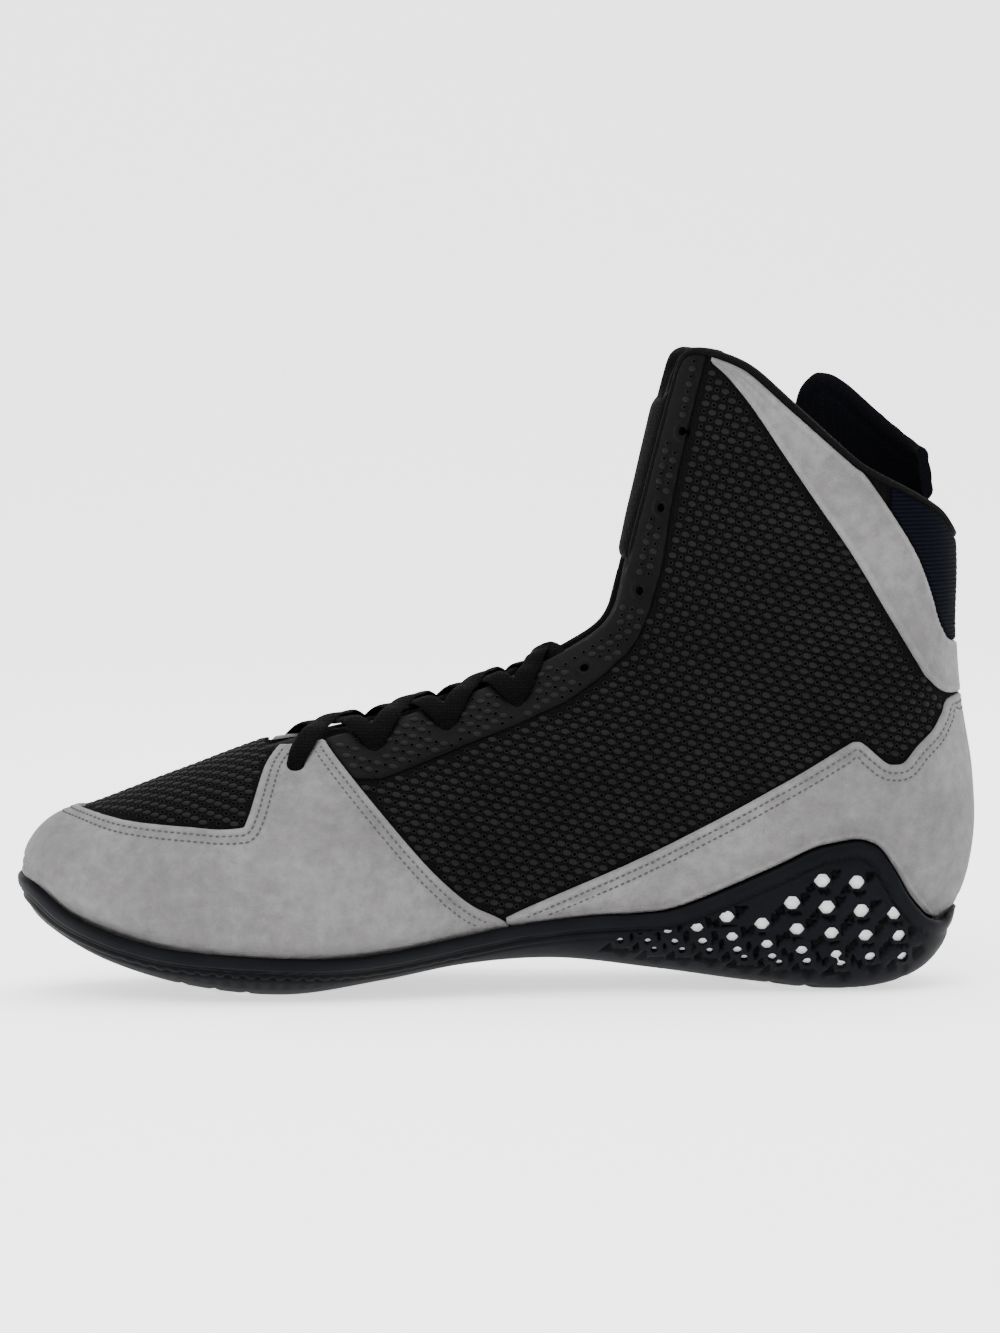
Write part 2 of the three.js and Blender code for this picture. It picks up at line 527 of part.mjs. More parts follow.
// One strand from a medial eyelet to the next lateral one, or back the other way
function strand(a, b, side, last) {
  const base = GAP + OVERLAY + LACE.clear + LACE.thick / 2;
  const place = (t) => {
    const across = BALL_WIDTH * mix(-a.across, b.across, t) * side;
    const sink = last ? Math.max(t - 0.7, 0) / 0.3 * (base + WALL - GAP - LACE.thick / 2) : 0;
    const height = base + LACE.rise * Math.sin(Math.PI * t) - sink;
    return skin(mix(a.at, b.at, t), turnAcross(mix(a.at, b.at, t), across), height);
  };
  const rings = Array.from({ length: LACE.stations }, (_, k) => {
    const t = k / (LACE.stations - 1);
    const middlePoint = place(t);
    const run = place(Math.min(t + 0.02, 1)).sub(place(Math.max(t - 0.02, 0))).normalize();
    const across = BALL_WIDTH * mix(-a.across, b.across, t) * side;
    const inner = skin(mix(a.at, b.at, t), turnAcross(mix(a.at, b.at, t), across), 0);
    const up = middlePoint.clone().sub(inner).addScaledVector(run, -middlePoint.clone().sub(inner).dot(run));
    if (up.length() < GAP) up.set(0, 0, 1);
    up.normalize();
    const flat = run.clone().cross(up).normalize();
    return Array.from({ length: LACE.corners }, (__, j) => {
      const angle = (2 * Math.PI * j) / LACE.corners;
      return middlePoint.clone().addScaledVector(flat, Math.cos(angle) * LACE.wide / 2)
        .addScaledVector(up, Math.sin(angle) * LACE.thick / 2);
    });
  });
  return ringSolid(rings, middle(rings[0]), middle(rings[rings.length - 1]));
}

function makeLace() {
  let lace = null;
  for (let k = 0; k < EYELETS.length - 1; k += 1) {
    const last = k === EYELETS.length - 2;
    for (const side of [1, -1]) {
      const piece = strand(EYELETS[k], EYELETS[k + 1], side, last);
      lace = lace ? lace.add(piece) : piece;
    }
  }
  return lace;
}

const object = new THREE.Group();
object.name = 'wrestling_shoe';

function place(name, manifold, paint) {
  const mesh = manifold.getMesh();
  const geometry = new THREE.BufferGeometry();
  const stride = mesh.numProp;
  const position = new Float32Array(mesh.triVerts.length * 3);
  mesh.triVerts.forEach((v, k) => {
    for (let j = 0; j < 3; j += 1) position[k * 3 + j] = mesh.vertProperties[v * stride + j];
  });
  geometry.setAttribute('position', new THREE.BufferAttribute(position, 3));
  geometry.computeVertexNormals();
  const node = new THREE.Mesh(geometry, new THREE.MeshStandardMaterial({ metalness: 0, ...PAINT[paint] }));
  node.name = name;
  object.add(node);
}

place('upper', makeUpper(), 'mesh');
place('outsole', makeOutsole(), 'rubber');
place('midsole', makeMidsole(), 'foam');
place('insole', makeInsole(), 'lining');
place('tongue', makeTongue(), 'lining');
place('lace_pocket', makePocket(), 'lining');
place('toe_wrap', makeToeWrap(), 'suede');
place('heel_counter', makeCounter(), 'suede');
place('ankle_band', makeBand(), 'suede');
place('achilles_panel', makeAchilles(), 'knit');
const stays = makeStays();
place('eyestay_medial', stays[0], 'rubber');
place('eyestay_lateral', stays[stays.length - 1], 'rubber');
place('collar_binding', makeBinding(), 'lining');
place('collar_flap', makeFlap(), 'lining');
place('lace', makeLace(), 'lace');

// The origin goes under the middle of the whole shoe's box
const box = new THREE.Box3().setFromObject(object);
const centre = box.getCenter(new THREE.Vector3());
for (const node of object.children) node.geometry.translate(-centre.x, -centre.y, -box.min.z);

export default object;
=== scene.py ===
"""Wrestling shoe for the right foot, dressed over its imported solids.

Metres for Blender, millimetres in the tables. The toe points to -X and the medial side faces -Y.
"""
import math

import bpy
import numpy as np
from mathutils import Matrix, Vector


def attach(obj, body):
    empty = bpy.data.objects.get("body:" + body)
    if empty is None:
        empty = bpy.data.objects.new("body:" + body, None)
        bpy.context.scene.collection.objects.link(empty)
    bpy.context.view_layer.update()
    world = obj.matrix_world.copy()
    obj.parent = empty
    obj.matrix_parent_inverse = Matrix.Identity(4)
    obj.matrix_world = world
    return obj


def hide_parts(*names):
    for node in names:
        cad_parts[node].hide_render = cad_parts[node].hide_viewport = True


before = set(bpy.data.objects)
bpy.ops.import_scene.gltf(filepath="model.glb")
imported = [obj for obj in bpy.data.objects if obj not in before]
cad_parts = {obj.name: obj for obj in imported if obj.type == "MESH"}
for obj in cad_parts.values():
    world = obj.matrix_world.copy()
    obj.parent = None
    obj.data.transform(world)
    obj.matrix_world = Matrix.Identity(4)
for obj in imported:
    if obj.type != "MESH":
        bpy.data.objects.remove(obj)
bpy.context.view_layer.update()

# Main sizes, mm: the same as the part's
LENGTH, BALL_WIDTH, INSTEP, HEEL_HEIGHT, STACK = 283.5, 92.0, 100.0, 100.0, 10.0
GAP, WALL, OVERLAY, RUBBER, FOAM_WALL = 0.3, 2.0, 1.1, 1.3, 0.9
PROUD = GAP + FOAM_WALL + GAP + RUBBER
INSOLE_TOP = 4.2
SHIFT = np.array([0.536, 0.886, 0.0])    # the part stands with its box in the middle
BEYOND = 0.54
CEILING, CELLAR = 3.0 * INSTEP, -INSTEP
MM = 0.001

# ridge_x, ridge_z, rear_x, rear_z, tread_x, stack, mid, mid_low, medial, lateral, widest,
# top, under, grip: a row for each section, in shares of the main sizes
SECTIONS = np.array([
    (-0.5, 0.36, -0.5, 0.36, -0.5, 0, -0.109, -0.109, 0, 0, 0.5, 2, 2.2, 2.2),
    (-0.4937, 0.445, -0.4937, 0.315, -0.4937, 0.19, -0.109, -0.109, 0.141, 0.152, 0.45, 2, 2.2, 2.3),
    (-0.467, 0.522, -0.467, 0.25, -0.467, 0.34, -0.109, -0.103, 0.245, 0.261, 0.38, 2.1, 2.4, 2.6),
    (-0.41, 0.584, -0.41, 0.168, -0.41, 0.43, -0.109, -0.087, 0.352, 0.363, 0.32, 2.1, 2.6, 3),
    (-0.327, 0.672, -0.327, 0.094, -0.327, 0.42, -0.098, -0.054, 0.44, 0.456, 0.26, 2, 2.7, 2.9),
    (-0.23, 0.766, -0.23, 0.062, -0.23, 0.4, -0.065, -0.022, 0.485, 0.507, 0.23, 1.8, 2.8, 2.9),
    (-0.133, 0.824, -0.133, 0.09, -0.133, 0.32, -0.033, 0.005, 0.48, 0.501, 0.22, 1.65, 2.8, 2.9),
    (-0.042, 0.894, -0.042, 0.128, -0.042, 0.24, -0.011, 0.027, 0.438, 0.465, 0.22, 1.6, 2.9, 3.2),
    (0.031, 0.976, 0.056, 0.148, 0.056, 0.32, 0, 0.033, 0.397, 0.428, 0.24, 1.6, 2.9, 3.2),
    (0.075, 1.042, 0.161, 0.138, 0.161, 0.56, 0, 0.027, 0.38, 0.407, 0.28, 1.7, 2.9, 3.4),
    (0.1014, 1.094, 0.266, 0.096, 0.266, 0.54, 0, 0.016, 0.38, 0.397, 0.32, 1.8, 3, 3.8),
    (0.1137, 1.146, 0.363, 0.074, 0.363, 0.57, 0, 0.008, 0.386, 0.397, 0.36, 1.9, 2.8, 3.9),
    (0.119, 1.201, 0.44, 0.115, 0.44, 0.43, 0, 0.003, 0.386, 0.397, 0.4, 2, 2.5, 3.4),
    (0.1232, 1.261, 0.483, 0.26, 0.482, 0.16, 0, 0, 0.386, 0.391, 0.42, 2, 2.3, 2.6),
    (0.1288, 1.331, 0.5, 0.44, 0.5, 0, 0, 0, 0.38, 0.386, 0.44, 2, 2.2, 2.2),
    (0.1351, 1.416, 0.4988, 0.64, 0.4988, 0, 0, 0, 0.38, 0.386, 0.46, 2, 2.1, 2.1),
    (0.1435, 1.516, 0.487, 0.85, 0.487, 0, 0, 0, 0.386, 0.391, 0.46, 2, 2.1, 2.1),
    (0.1533, 1.636, 0.481, 1.06, 0.481, 0, 0, 0, 0.391, 0.397, 0.46, 2, 2.1, 2.1),
    (0.1652, 1.776, 0.482, 1.27, 0.482, 0, 0, 0, 0.397, 0.402, 0.46, 2, 2.1, 2.1),
    (0.1803, 1.936, 0.477, 1.47, 0.477, 0, 0, 0, 0.397, 0.402, 0.46, 2, 2.1, 2.1),
    (0.1996, 2.116, 0.466, 1.68, 0.466, 0, 0, 0, 0.391, 0.397, 0.46, 2, 2.1, 2.1),
])
FEATHER = [
    (-0.54, 0.38), (-0.497, 0.35), (-0.46, 0.262), (-0.428, 0.218), (-0.395, 0.186), (-0.347, 0.156),
    (-0.249, 0.135), (-0.182, 0.129), (-0.133, 0.139), (-0.05, 0.182), (0.005, 0.213),
    (0.086, 0.238), (0.137, 0.244), (0.181, 0.266), (0.27, 0.372), (0.315, 0.432), (0.338, 0.449),
    (0.361, 0.459), (0.375, 0.452), (0.389, 0.428), (0.408, 0.352), (0.419, 0.299), (0.433, 0.25),
    (0.446, 0.219), (0.464, 0.205), (0.481, 0.225), (0.54, 0.25),
]
RIM = [
    (-0.54, 1.7), (0.0, 1.7), (0.1, 1.7), (0.12, 1.7), (0.165, 1.78), (0.176, 1.84),
    (0.186, 1.895), (0.199, 1.915),
    (0.215, 1.908), (0.241, 1.88), (0.26, 1.845), (0.2935, 1.756), (0.351, 1.61), (0.374, 1.561),
    (0.434, 1.476), (0.46, 1.43), (0.481, 1.365), (0.54, 1.2),
]
WINDOW = [
    (-0.47, 0.56), (-0.438, 0.548), (-0.395, 0.525), (-0.33, 0.512), (-0.285, 0.509), (-0.274, 0.53),
    (-0.254, 0.675), (-0.233, 0.755), (-0.229, 0.85),
]
WRAP_REAR = [
    (-0.19, 0.85), (-0.193, 0.77), (-0.165, 0.652), (-0.101, 0.435), (-0.068, 0.338),
    (-0.041, 0.277), (-0.011, 0.235), (0.01, 0.19),
]
COUNTER_TOP = [
    (-0.016, 0.18), (-0.006, 0.222), (0.005, 0.251), (0.124, 0.392), (0.204, 0.502), (0.284, 0.625),
    (0.352, 0.738), (0.363, 0.749), (0.371, 0.74), (0.393, 0.687), (0.404, 0.679), (0.415, 0.686),
    (0.429, 0.73), (0.448, 0.778), (0.459, 0.824), (0.473, 0.872), (0.54, 0.88),
]
BAND_LOW = [
    (0.213, 1.96), (0.213, 1.885), (0.232, 1.821), (0.255, 1.733), (0.283, 1.609), (0.318, 1.46),
    (0.356, 1.306), (0.394, 1.135), (0.43, 0.978), (0.443, 0.929), (0.471, 0.882), (0.54, 0.889),
]
BAND_HIGH = [
    (0.54, 1.03), (0.476, 1.034), (0.456, 1.087), (0.443, 1.194), (0.426, 1.303), (0.4, 1.417),
    (0.374, 1.52), (0.352, 1.6), (0.34, 1.7),
]
FLAP_OUTLINE = [
    (0.31, 1.52), (0.326, 1.7), (0.3335, 1.78), (0.345, 1.82), (0.357, 1.835), (0.381, 1.814),
    (0.4175, 1.7255), (0.454, 1.628), (0.4642, 1.5825), (0.469, 1.518), (0.4655, 1.46), (0.45, 1.33),
]
THROAT = np.array([
    (4.75, 0.043, 0.13, 0.239),
    (4.9, 0.141, 0.239, 0.283),
    (5.2, 0.174, 0.304, 0.304),
    (6, 0.141, 0.315, 0.304),
    (7, 0.109, 0.261, 0.293),
    (8, 0.092, 0.228, 0.283),
    (10, 0.092, 0.196, 0.261),
    (13, 0.103, 0.207, 0.25),
    (16, 0.13, 0.217, 0.25),
    (18, 0.147, 0.228, 0.25),
    (20, 0.163, 0.239, 0.25),
])
UNITS = np.array([LENGTH, INSTEP, LENGTH, HEEL_HEIGHT, LENGTH, STACK, BALL_WIDTH, BALL_WIDTH,
                  BALL_WIDTH, BALL_WIDTH, 1, 1, 1, 1])
LAST = len(SECTIONS) - 1
NEAR_TOE, SOLE_UNTIL = 0.03, 15.0
SOLE_TURNS = (0.33 * math.pi, 1.67 * math.pi)


def section_rows():
    """The table with the toe's mirrored row before it and a straight one after it."""
    ghost = SECTIONS[1].copy()
    ghost[[8, 9]] *= -1
    ghost[1] = 2 * SECTIONS[0, 1] - SECTIONS[1, 1]
    ghost[3] = 2 * SECTIONS[0, 3] - SECTIONS[1, 3]
    end = 2 * SECTIONS[-1] - SECTIONS[-2]
    return np.vstack([ghost, SECTIONS, end]) * UNITS


ROWS = section_rows()


def section(at):
    """All columns at section number at, in mm."""
    s = np.clip(np.asarray(at, float), 0, LAST)
    i = np.minimum(s.astype(int), LAST - 1)
    t = (s - i)[..., None]
    a, b, c, d = ROWS[i], ROWS[i + 1], ROWS[i + 2], ROWS[i + 3]
    return 0.5 * (2 * b + (c - a) * t + (2 * a - 5 * b + 4 * c - d) * t ** 2
                  + (3 * b - a - 3 * c + d) * t ** 3)


def mix(a, b, t):
    return a + (b - a) * t


def form_point(at, turn, sole=False):
    """Point of the form: turn is 0 on the ridge and pi at the bottom, + on the medial side."""
    row = section(at)
    (ridge_x, ridge_z, rear_x, rear_z, tread_x, stack, mid, mid_low,
     medial, lateral, widest, top, under, grip) = [row[..., k] for k in range(14)]
    c = np.cos(turn)
    q = np.abs(c)
    upper = c >= 0
    low_x, low_z = (tread_x, rear_z - stack) if sole else (rear_x, rear_z)
    wide_x, wide_z = mix(rear_x, ridge_x, widest), mix(rear_z, ridge_z, widest)
    wide_mid = mix(mid_low, mid, widest)
    power = np.where(upper, top, grip if sole else under)
    full = np.clip(1 - q ** power, 0, None)
    out = np.where(upper, np.sqrt(full), full ** (1 / power))
    width = np.where(np.sin(turn) >= 0, -medial, lateral)
    return np.stack([
        mix(wide_x, np.where(upper, ridge_x, low_x), q),
        mix(wide_mid, np.where(upper, mid, mid_low), q) + width * out,
        mix(wide_z, np.where(upper, ridge_z, low_z), q),
    ], -1)


def unit(v):
    return v / np.maximum(np.linalg.norm(v, axis=-1, keepdims=True), 1e-9)


def normal(at, turn, sole=False):
    step = 0.02
    s = np.maximum(at, 2 * step)
    along = form_point(s + step, turn, sole) - form_point(s - step, turn, sole)
    around = form_point(s, turn + step, sole) - form_point(s, turn - step, sole)
    return -unit(np.cross(along, around))


# Soft folds of the worn upper: section number and turn of the middle, half
# width across the fold in sections, half reach in turn, lean in sections a turn, and height in mm
CREASES = np.array([
    (4.15, 0.75, 0.16, 0.50, 0.35, -0.60),
    (4.62, 0.95, 0.15, 0.45, 0.40, 0.40),
    (5.35, 1.30, 0.20, 0.35, 0.60, -0.65),
    (6.30, 1.10, 0.22, 0.40, 0.80, -0.50),
    (7.60, 1.00, 0.30, 0.45, 1.20, 0.45),
    (8.90, 0.95, 0.34, 0.40, 1.60, -0.80),
    (9.90, 1.05, 0.34, 0.45, 1.80, 0.50),
    (10.9, 1.00, 0.36, 0.45, 1.40, -0.85),
    (12.1, 1.15, 0.38, 0.50, 1.00, 0.55),
    (13.3, 1.20, 0.42, 0.55, 0.80, -0.80),
    (15.2, 1.30, 0.50, 0.60, 0.60, -0.55),
    (16.9, 1.10, 0.50, 0.50, 0.50, 0.40),
    (4.30, -0.80, 0.16, 0.50, -0.35, -0.55),
    (5.60, -1.20, 0.20, 0.40, -0.60, -0.60),
    (8.40, -1.00, 0.32, 0.45, -1.20, -0.75),
    (10.2, -1.05, 0.36, 0.50, -1.60, 0.45),
    (11.6, -1.10, 0.38, 0.50, -1.20, -0.80),
    (13.6, -1.20, 0.42, 0.55, -0.80, -0.70),
    (15.6, -1.25, 0.50, 0.60, -0.60, 0.45),
])


def folds(at, turn):
    """Height of the folds, mm."""
    turn = (turn + math.pi) % (2 * math.pi) - math.pi
    height = np.zeros(at.shape)
    for middle, centre, wide, reach, lean, size in CREASES:
        away = turn - centre
        across = (at - middle - lean * away) / wide
        height = height + size * np.exp(-across ** 2 - (away / reach) ** 2)
    return height


def skin(at, turn, away, sole=False):
    """The same point moved out along the surface's normal, mm."""
    at, turn = np.broadcast_arrays(np.asarray(at, float), np.asarray(turn, float))
    away = np.broadcast_to(np.asarray(away, float), at.shape)
    if not sole:
        away = away + folds(at, turn)
    return form_point(at, turn, sole) + normal(at, turn, sole) * away[..., None]


# Side outlines as smooth curves and their signed distances
def smooth_line(points, parts=6):
    p = np.array(points, float) * [LENGTH, INSTEP]
    p = np.vstack([2 * p[0] - p[1], p, 2 * p[-1] - p[-2]])
    t = np.linspace(0, 1, parts, endpoint=False)[:, None]
    out = []
    for a, b, c, d in zip(p, p[1:], p[2:], p[3:]):
        out.append(0.5 * (2 * b + (c - a) * t + (2 * a - 5 * b + 4 * c - d) * t ** 2
                          + (3 * b - a - 3 * c + d) * t ** 3))
    return np.vstack(out + [p[-2:-1]])


def signed(polygon, x, z):
    """Distance to a closed side outline, positive inside, mm."""
    best = np.full(x.shape, 1e9)
    inside = np.zeros(x.shape, bool)
    for (ax, az), (bx, bz) in zip(polygon, np.roll(polygon, -1, axis=0)):
        dx, dz = bx - ax, bz - az
        t = np.clip(((x - ax) * dx + (z - az) * dz) / max(dx * dx + dz * dz, 1e-9), 0, 1)
        best = np.minimum(best, (x - ax - t * dx) ** 2 + (z - az - t * dz) ** 2)
        crosses = (az > z) != (bz > z)
        if dz:
            inside ^= crosses & (x < ax + dx * (z - az) / dz)
    return np.where(inside, 1, -1) * np.sqrt(best)


def closed_at(line, level):
    return np.vstack([line, [[line[-1, 0], level], [line[0, 0], level]]])


UNDER_FEATHER = closed_at(smooth_line(FEATHER), CELLAR)
UNDER_RIM = closed_at(smooth_line(RIM), CELLAR)
rear_line = smooth_line(WRAP_REAR)
WRAP = np.vstack([rear_line, [[-LENGTH, CELLAR], [-LENGTH, CEILING], [rear_line[0, 0], CEILING]]])
window_line = smooth_line(WINDOW)
TOE_WINDOW = np.vstack([window_line, [[window_line[0, 0], CEILING]]])
UNDER_COUNTER_TOP = closed_at(smooth_line(COUNTER_TOP), CELLAR)
band_low, band_high = smooth_line(BAND_LOW), smooth_line(BAND_HIGH)
BAND = np.vstack([band_low, band_high])
ACHILLES = np.vstack([band_high + GAP, [[band_high[-1, 0], CEILING], [LENGTH, CEILING],
                                        [LENGTH, band_high[0, 1] + GAP]]])
FLAP = smooth_line(FLAP_OUTLINE)
FLOOR_LINE = np.stack([SECTIONS[:14, 2] * LENGTH, SECTIONS[:14, 3] * HEEL_HEIGHT + INSOLE_TOP], -1)
FLOOR_LINE[0] = [-BEYOND * LENGTH, FLOOR_LINE[0, 1] + 10]
FLOOR_LINE = np.vstack([FLOOR_LINE, [[BEYOND * LENGTH, SECTIONS[14, 3] * HEEL_HEIGHT + INSOLE_TOP]]])
UNDER_FLOOR = closed_at(FLOOR_LINE, CELLAR)


def throat_row(at, column):
    return np.interp(at, THROAT[:, 0], THROAT[:, column]) * BALL_WIDTH


# Grids of section number and turn, evenly spaced on the surface
def stations(start, end, step, sole=False):
    s = np.arange(start, end + 0.025, 0.025)
    s = np.clip(s, start, end)
    turns = np.array([0.0, 0.5, 1.0, 1.25]) * math.pi
    lines = form_point(s[:, None], turns[None, :], sole)
    run = np.linalg.norm(np.diff(lines, axis=0), axis=-1).max(axis=1)
    travelled = np.concatenate([[0], np.cumsum(run)])
    count = max(int(travelled[-1] / step), 2)
    return np.interp(np.linspace(0, travelled[-1], count + 1), travelled, s)


def grid(start, end, step, first, last, sole=False, weight=None, count=None):
    """Section numbers and turns of a grid whose columns are evenly spaced along each ring."""
    s = stations(start, end, step, sole)
    dense = np.linspace(first, last, 721)
    rings = form_point(s[:, None], dense[None, :], sole)
    run = np.linalg.norm(np.diff(rings, axis=1), axis=-1)
    if weight is not None:
        run = run * weight((dense[1:] + dense[:-1]) / 2)[None, :]
    travelled = np.concatenate([np.zeros((len(s), 1)), np.cumsum(run, axis=1)], axis=1)
    if count is None:
        count = max(int(np.percentile(travelled[:, -1], 80) / step), 4)
    share = np.linspace(0, 1, count + 1)
    turns = np.stack([np.interp(share * line[-1], line, dense) for line in travelled])
    return np.repeat(s[:, None], count + 1, axis=1), turns


def even(field, points):
    """A field in mm of the side view turned into distance along the surface, by its slope."""
    di = np.gradient(points, axis=0)
    dj = np.gradient(points, axis=1)
    fi, fj = np.gradient(field, axis=0), np.gradient(field, axis=1)
    e, f, g = (di * di).sum(-1), (di * dj).sum(-1), (dj * dj).sum(-1)
    det = np.maximum(e * g - f * f, 1e-9)
    slope = np.sqrt(np.maximum((g * fi * fi - 2 * f * fi * fj + e * fj * fj) / det, 0))
    return field / np.clip(slope, 0.3, 1.2)


class Sheet:
    """Part of a grid where a field is positive, cut cleanly along its edge."""

    def __init__(self, s, turn, field):
        rows, cols = s.shape
        self.s, self.turn, self.field = s, turn, field
        keep = field > 0
        index = np.arange(rows * cols).reshape(rows, cols)
        all_in = keep[:-1, :-1] & keep[1:, :-1] & keep[1:, 1:] & keep[:-1, 1:]
        any_in = keep[:-1, :-1] | keep[1:, :-1] | keep[1:, 1:] | keep[:-1, 1:]
        corners = np.stack([index[:-1, :-1], index[1:, :-1], index[1:, 1:], index[:-1, 1:]], -1)
        faces = [tuple(q) for q in corners[all_in].tolist()]
        flat = field.ravel()
        extra, pairs, shares = {}, [], []
        for quad in corners[any_in & ~all_in].tolist():
            shape = []
            for a, b in zip(quad, quad[1:] + quad[:1]):
                if flat[a] > 0:
                    shape.append(a)
                if (flat[a] > 0) != (flat[b] > 0):
                    key = (min(a, b), max(a, b))
                    if key not in extra:
                        t = flat[key[0]] / (flat[key[0]] - flat[key[1]])
                        extra[key] = rows * cols + len(pairs)
                        pairs.append(key)
                        shares.append(min(max(t, 0.02), 0.98))
                    shape.append(extra[key])
            if len(shape) > 2:
                faces.append(tuple(shape))
        used = sorted({v for face in faces for v in face})
        number = np.full(rows * cols + len(pairs), -1)
        number[used] = np.arange(len(used))
        self.faces = [tuple(number[list(face)].tolist()) for face in faces]
        pairs = np.array(pairs, int).reshape(-1, 2)
        shares = np.array(shares)
        self.used, self.pairs, self.shares = np.array(used), pairs, shares
        self.at = self.take(s)
        self.round = self.take(turn)
        self.edge = np.maximum(self.take(field), 0)

    def take(self, values):
        """A grid of values read at the sheet's own points."""
        flat = values.reshape(self.s.size, -1)
        if len(self.pairs):
            t = self.shares[:, None]
            cut = mix(flat[self.pairs[:, 0]], flat[self.pairs[:, 1]], t)
            flat = np.vstack([flat, cut])
        return flat[self.used].reshape((len(self.used),) + values.shape[2:])

    def rim(self):
        """Edges with a face on one side only, in the faces' own direction."""
        sides = {}
        for face in self.faces:
            for a, b in zip(face, face[1:] + face[:1]):
                sides[(a, b)] = True
        return [(a, b) for a, b in sides if (b, a) not in sides]


# Materials
def material(name, color, roughness, build=None, **values):
    mat = bpy.data.materials.new(name)
    mat.use_nodes = True
    nodes, links = mat.node_tree.nodes, mat.node_tree.links
    shader = nodes["Principled BSDF"]
    shader.inputs["Base Color"].default_value = (*color, 1)
    shader.inputs["Roughness"].default_value = roughness
    for key, value in values.items():
        shader.inputs[key.replace("_", " ")].default_value = value
    if build:
        build(nodes, links, shader)
    return mat


def noise(nodes, links, scale, detail=3.0, rough=0.55, stretch=None):
    place = nodes.new("ShaderNodeTexCoord").outputs["Object"]
    if stretch:
        mapping = nodes.new("ShaderNodeMapping")
        mapping.inputs["Scale"].default_value = stretch
        links.new(place, mapping.inputs["Vector"])
        place = mapping.outputs["Vector"]
    node = nodes.new("ShaderNodeTexNoise")
    node.inputs["Scale"].default_value = scale
    node.inputs["Detail"].default_value = detail
    node.inputs["Roughness"].default_value = rough
    links.new(place, node.inputs["Vector"])
    return node.outputs["Fac"]


def ramp(nodes, links, source, stops):
    node = nodes.new("ShaderNodeValToRGB")
    elements = node.color_ramp.elements
    while len(elements) < len(stops):
        elements.new(0.5)
    for element, (place, value) in zip(elements, stops):
        element.position = place
        element.color = (*value, 1) if isinstance(value, tuple) else (value, value, value, 1)
    links.new(source, node.inputs["Fac"])
    return node.outputs["Color"]


def math_node(nodes, links, kind, a, b):
    node = nodes.new("ShaderNodeMath")
    node.operation = kind
    for socket, value in zip(node.inputs, (a, b)):
        if isinstance(value, (int, float)):
            socket.default_value = value
        else:
            links.new(value, socket)
    return node.outputs[0]


def bump(nodes, links, shader, height, depth, strength=1.0, before=None):
    node = nodes.new("ShaderNodeBump")
    node.inputs["Strength"].default_value = strength
    node.inputs["Distance"].default_value = depth
    links.new(height, node.inputs["Height"])
    if before:
        links.new(before, node.inputs["Normal"])
    links.new(node.outputs["Normal"], shader.inputs["Normal"])
    return node.outputs["Normal"]


def attribute(nodes, name):
    node = nodes.new("ShaderNodeAttribute")
    node.attribute_name = name
    return node.outputs["Fac"]


def suede_look(nodes, links, shader):
    fine = noise(nodes, links, 2600, 2, 0.7)
    soft = noise(nodes, links, 260, 4, 0.6)
    broad = noise(nodes, links, 26, 3, 0.5)
    blend = math_node(nodes, links, "ADD", math_node(nodes, links, "MULTIPLY", soft, 0.45),
                      math_node(nodes, links, "MULTIPLY", broad, 0.55))
    blend = math_node(nodes, links, "ADD", blend, math_node(nodes, links, "MULTIPLY", fine, 0.25))
    # The edge ramp paints a highlight along the raised ridge about 1.2 mm in from a panel's edge, and
    # paints shade along the first stitch groove, darkest about 2.2 mm in.
    edge = ramp(nodes, links, math_node(nodes, links, "MULTIPLY", attribute(nodes, "edge"), 0.1),
                [(0.0, 0.5), (0.12, 0.55), (0.22, 0.44), (0.6, 0.5)])
    blend = math_node(nodes, links, "ADD", blend, math_node(nodes, links, "SUBTRACT", edge, 0.5))
    links.new(ramp(nodes, links, blend, [(0.40, SUEDE_DARK), (0.62, SUEDE_MIDDLE), (0.82, SUEDE_LIGHT)]),
              shader.inputs["Base Color"])
    first = bump(nodes, links, shader, fine, 0.0005, 1.0)
    bump(nodes, links, shader, soft, 0.0012, 0.6, first)


def weave_look(scale, depth, dark, light):
    def build(nodes, links, shader):
        place = nodes.new("ShaderNodeTexCoord").outputs["Object"]
        cells = nodes.new("ShaderNodeTexVoronoi")
        cells.inputs["Scale"].default_value = scale
        cells.inputs["Randomness"].default_value = 0.35
        links.new(place, cells.inputs["Vector"])
        links.new(ramp(nodes, links, cells.outputs["Distance"], [(0.0, light), (0.7, dark)]),
                  shader.inputs["Base Color"])
        bump(nodes, links, shader, math_node(nodes, links, "SUBTRACT", 1.0, cells.outputs["Distance"]),
             depth, 0.8)
    return build


def rubber_look(dark, light):
    def build(nodes, links, shader):
        fine = noise(nodes, links, 1900, 2, 0.6)
        broad = noise(nodes, links, 60, 4, 0.6)
        links.new(ramp(nodes, links, broad, [(0.35, dark), (0.7, light)]), shader.inputs["Base Color"])
        level = math_node(nodes, links, "MULTIPLY", broad, 0.3)
        links.new(math_node(nodes, links, "ADD", level, shader.inputs["Roughness"].default_value - 0.12),
                  shader.inputs["Roughness"])
        bump(nodes, links, shader, fine, 0.0002, 0.35)
    return build


def sole_look(nodes, links, shader):
    """Blue-black rubber, with painted shade: near black in its recesses and darker where it faces down or
    end-on, as the edge attribute carries.
    """
    broad = noise(nodes, links, 60, 4, 0.6)
    fine = noise(nodes, links, 1900, 2, 0.6)
    high = ramp(nodes, links, attribute(nodes, "edge"), [(0.15, 0.0), (0.75, 1.0)])
    level = math_node(nodes, links, "MULTIPLY", high, math_node(nodes, links, "ADD", broad, 0.3))
    links.new(ramp(nodes, links, level, [(0.0, (0.0002, 0.0002, 0.0003)), (0.5, (0.0013, 0.0015, 0.0022)),
                                         (0.9, (0.0026, 0.0031, 0.0046))]), shader.inputs["Base Color"])
    bump(nodes, links, shader, fine, 0.0002, 0.35)


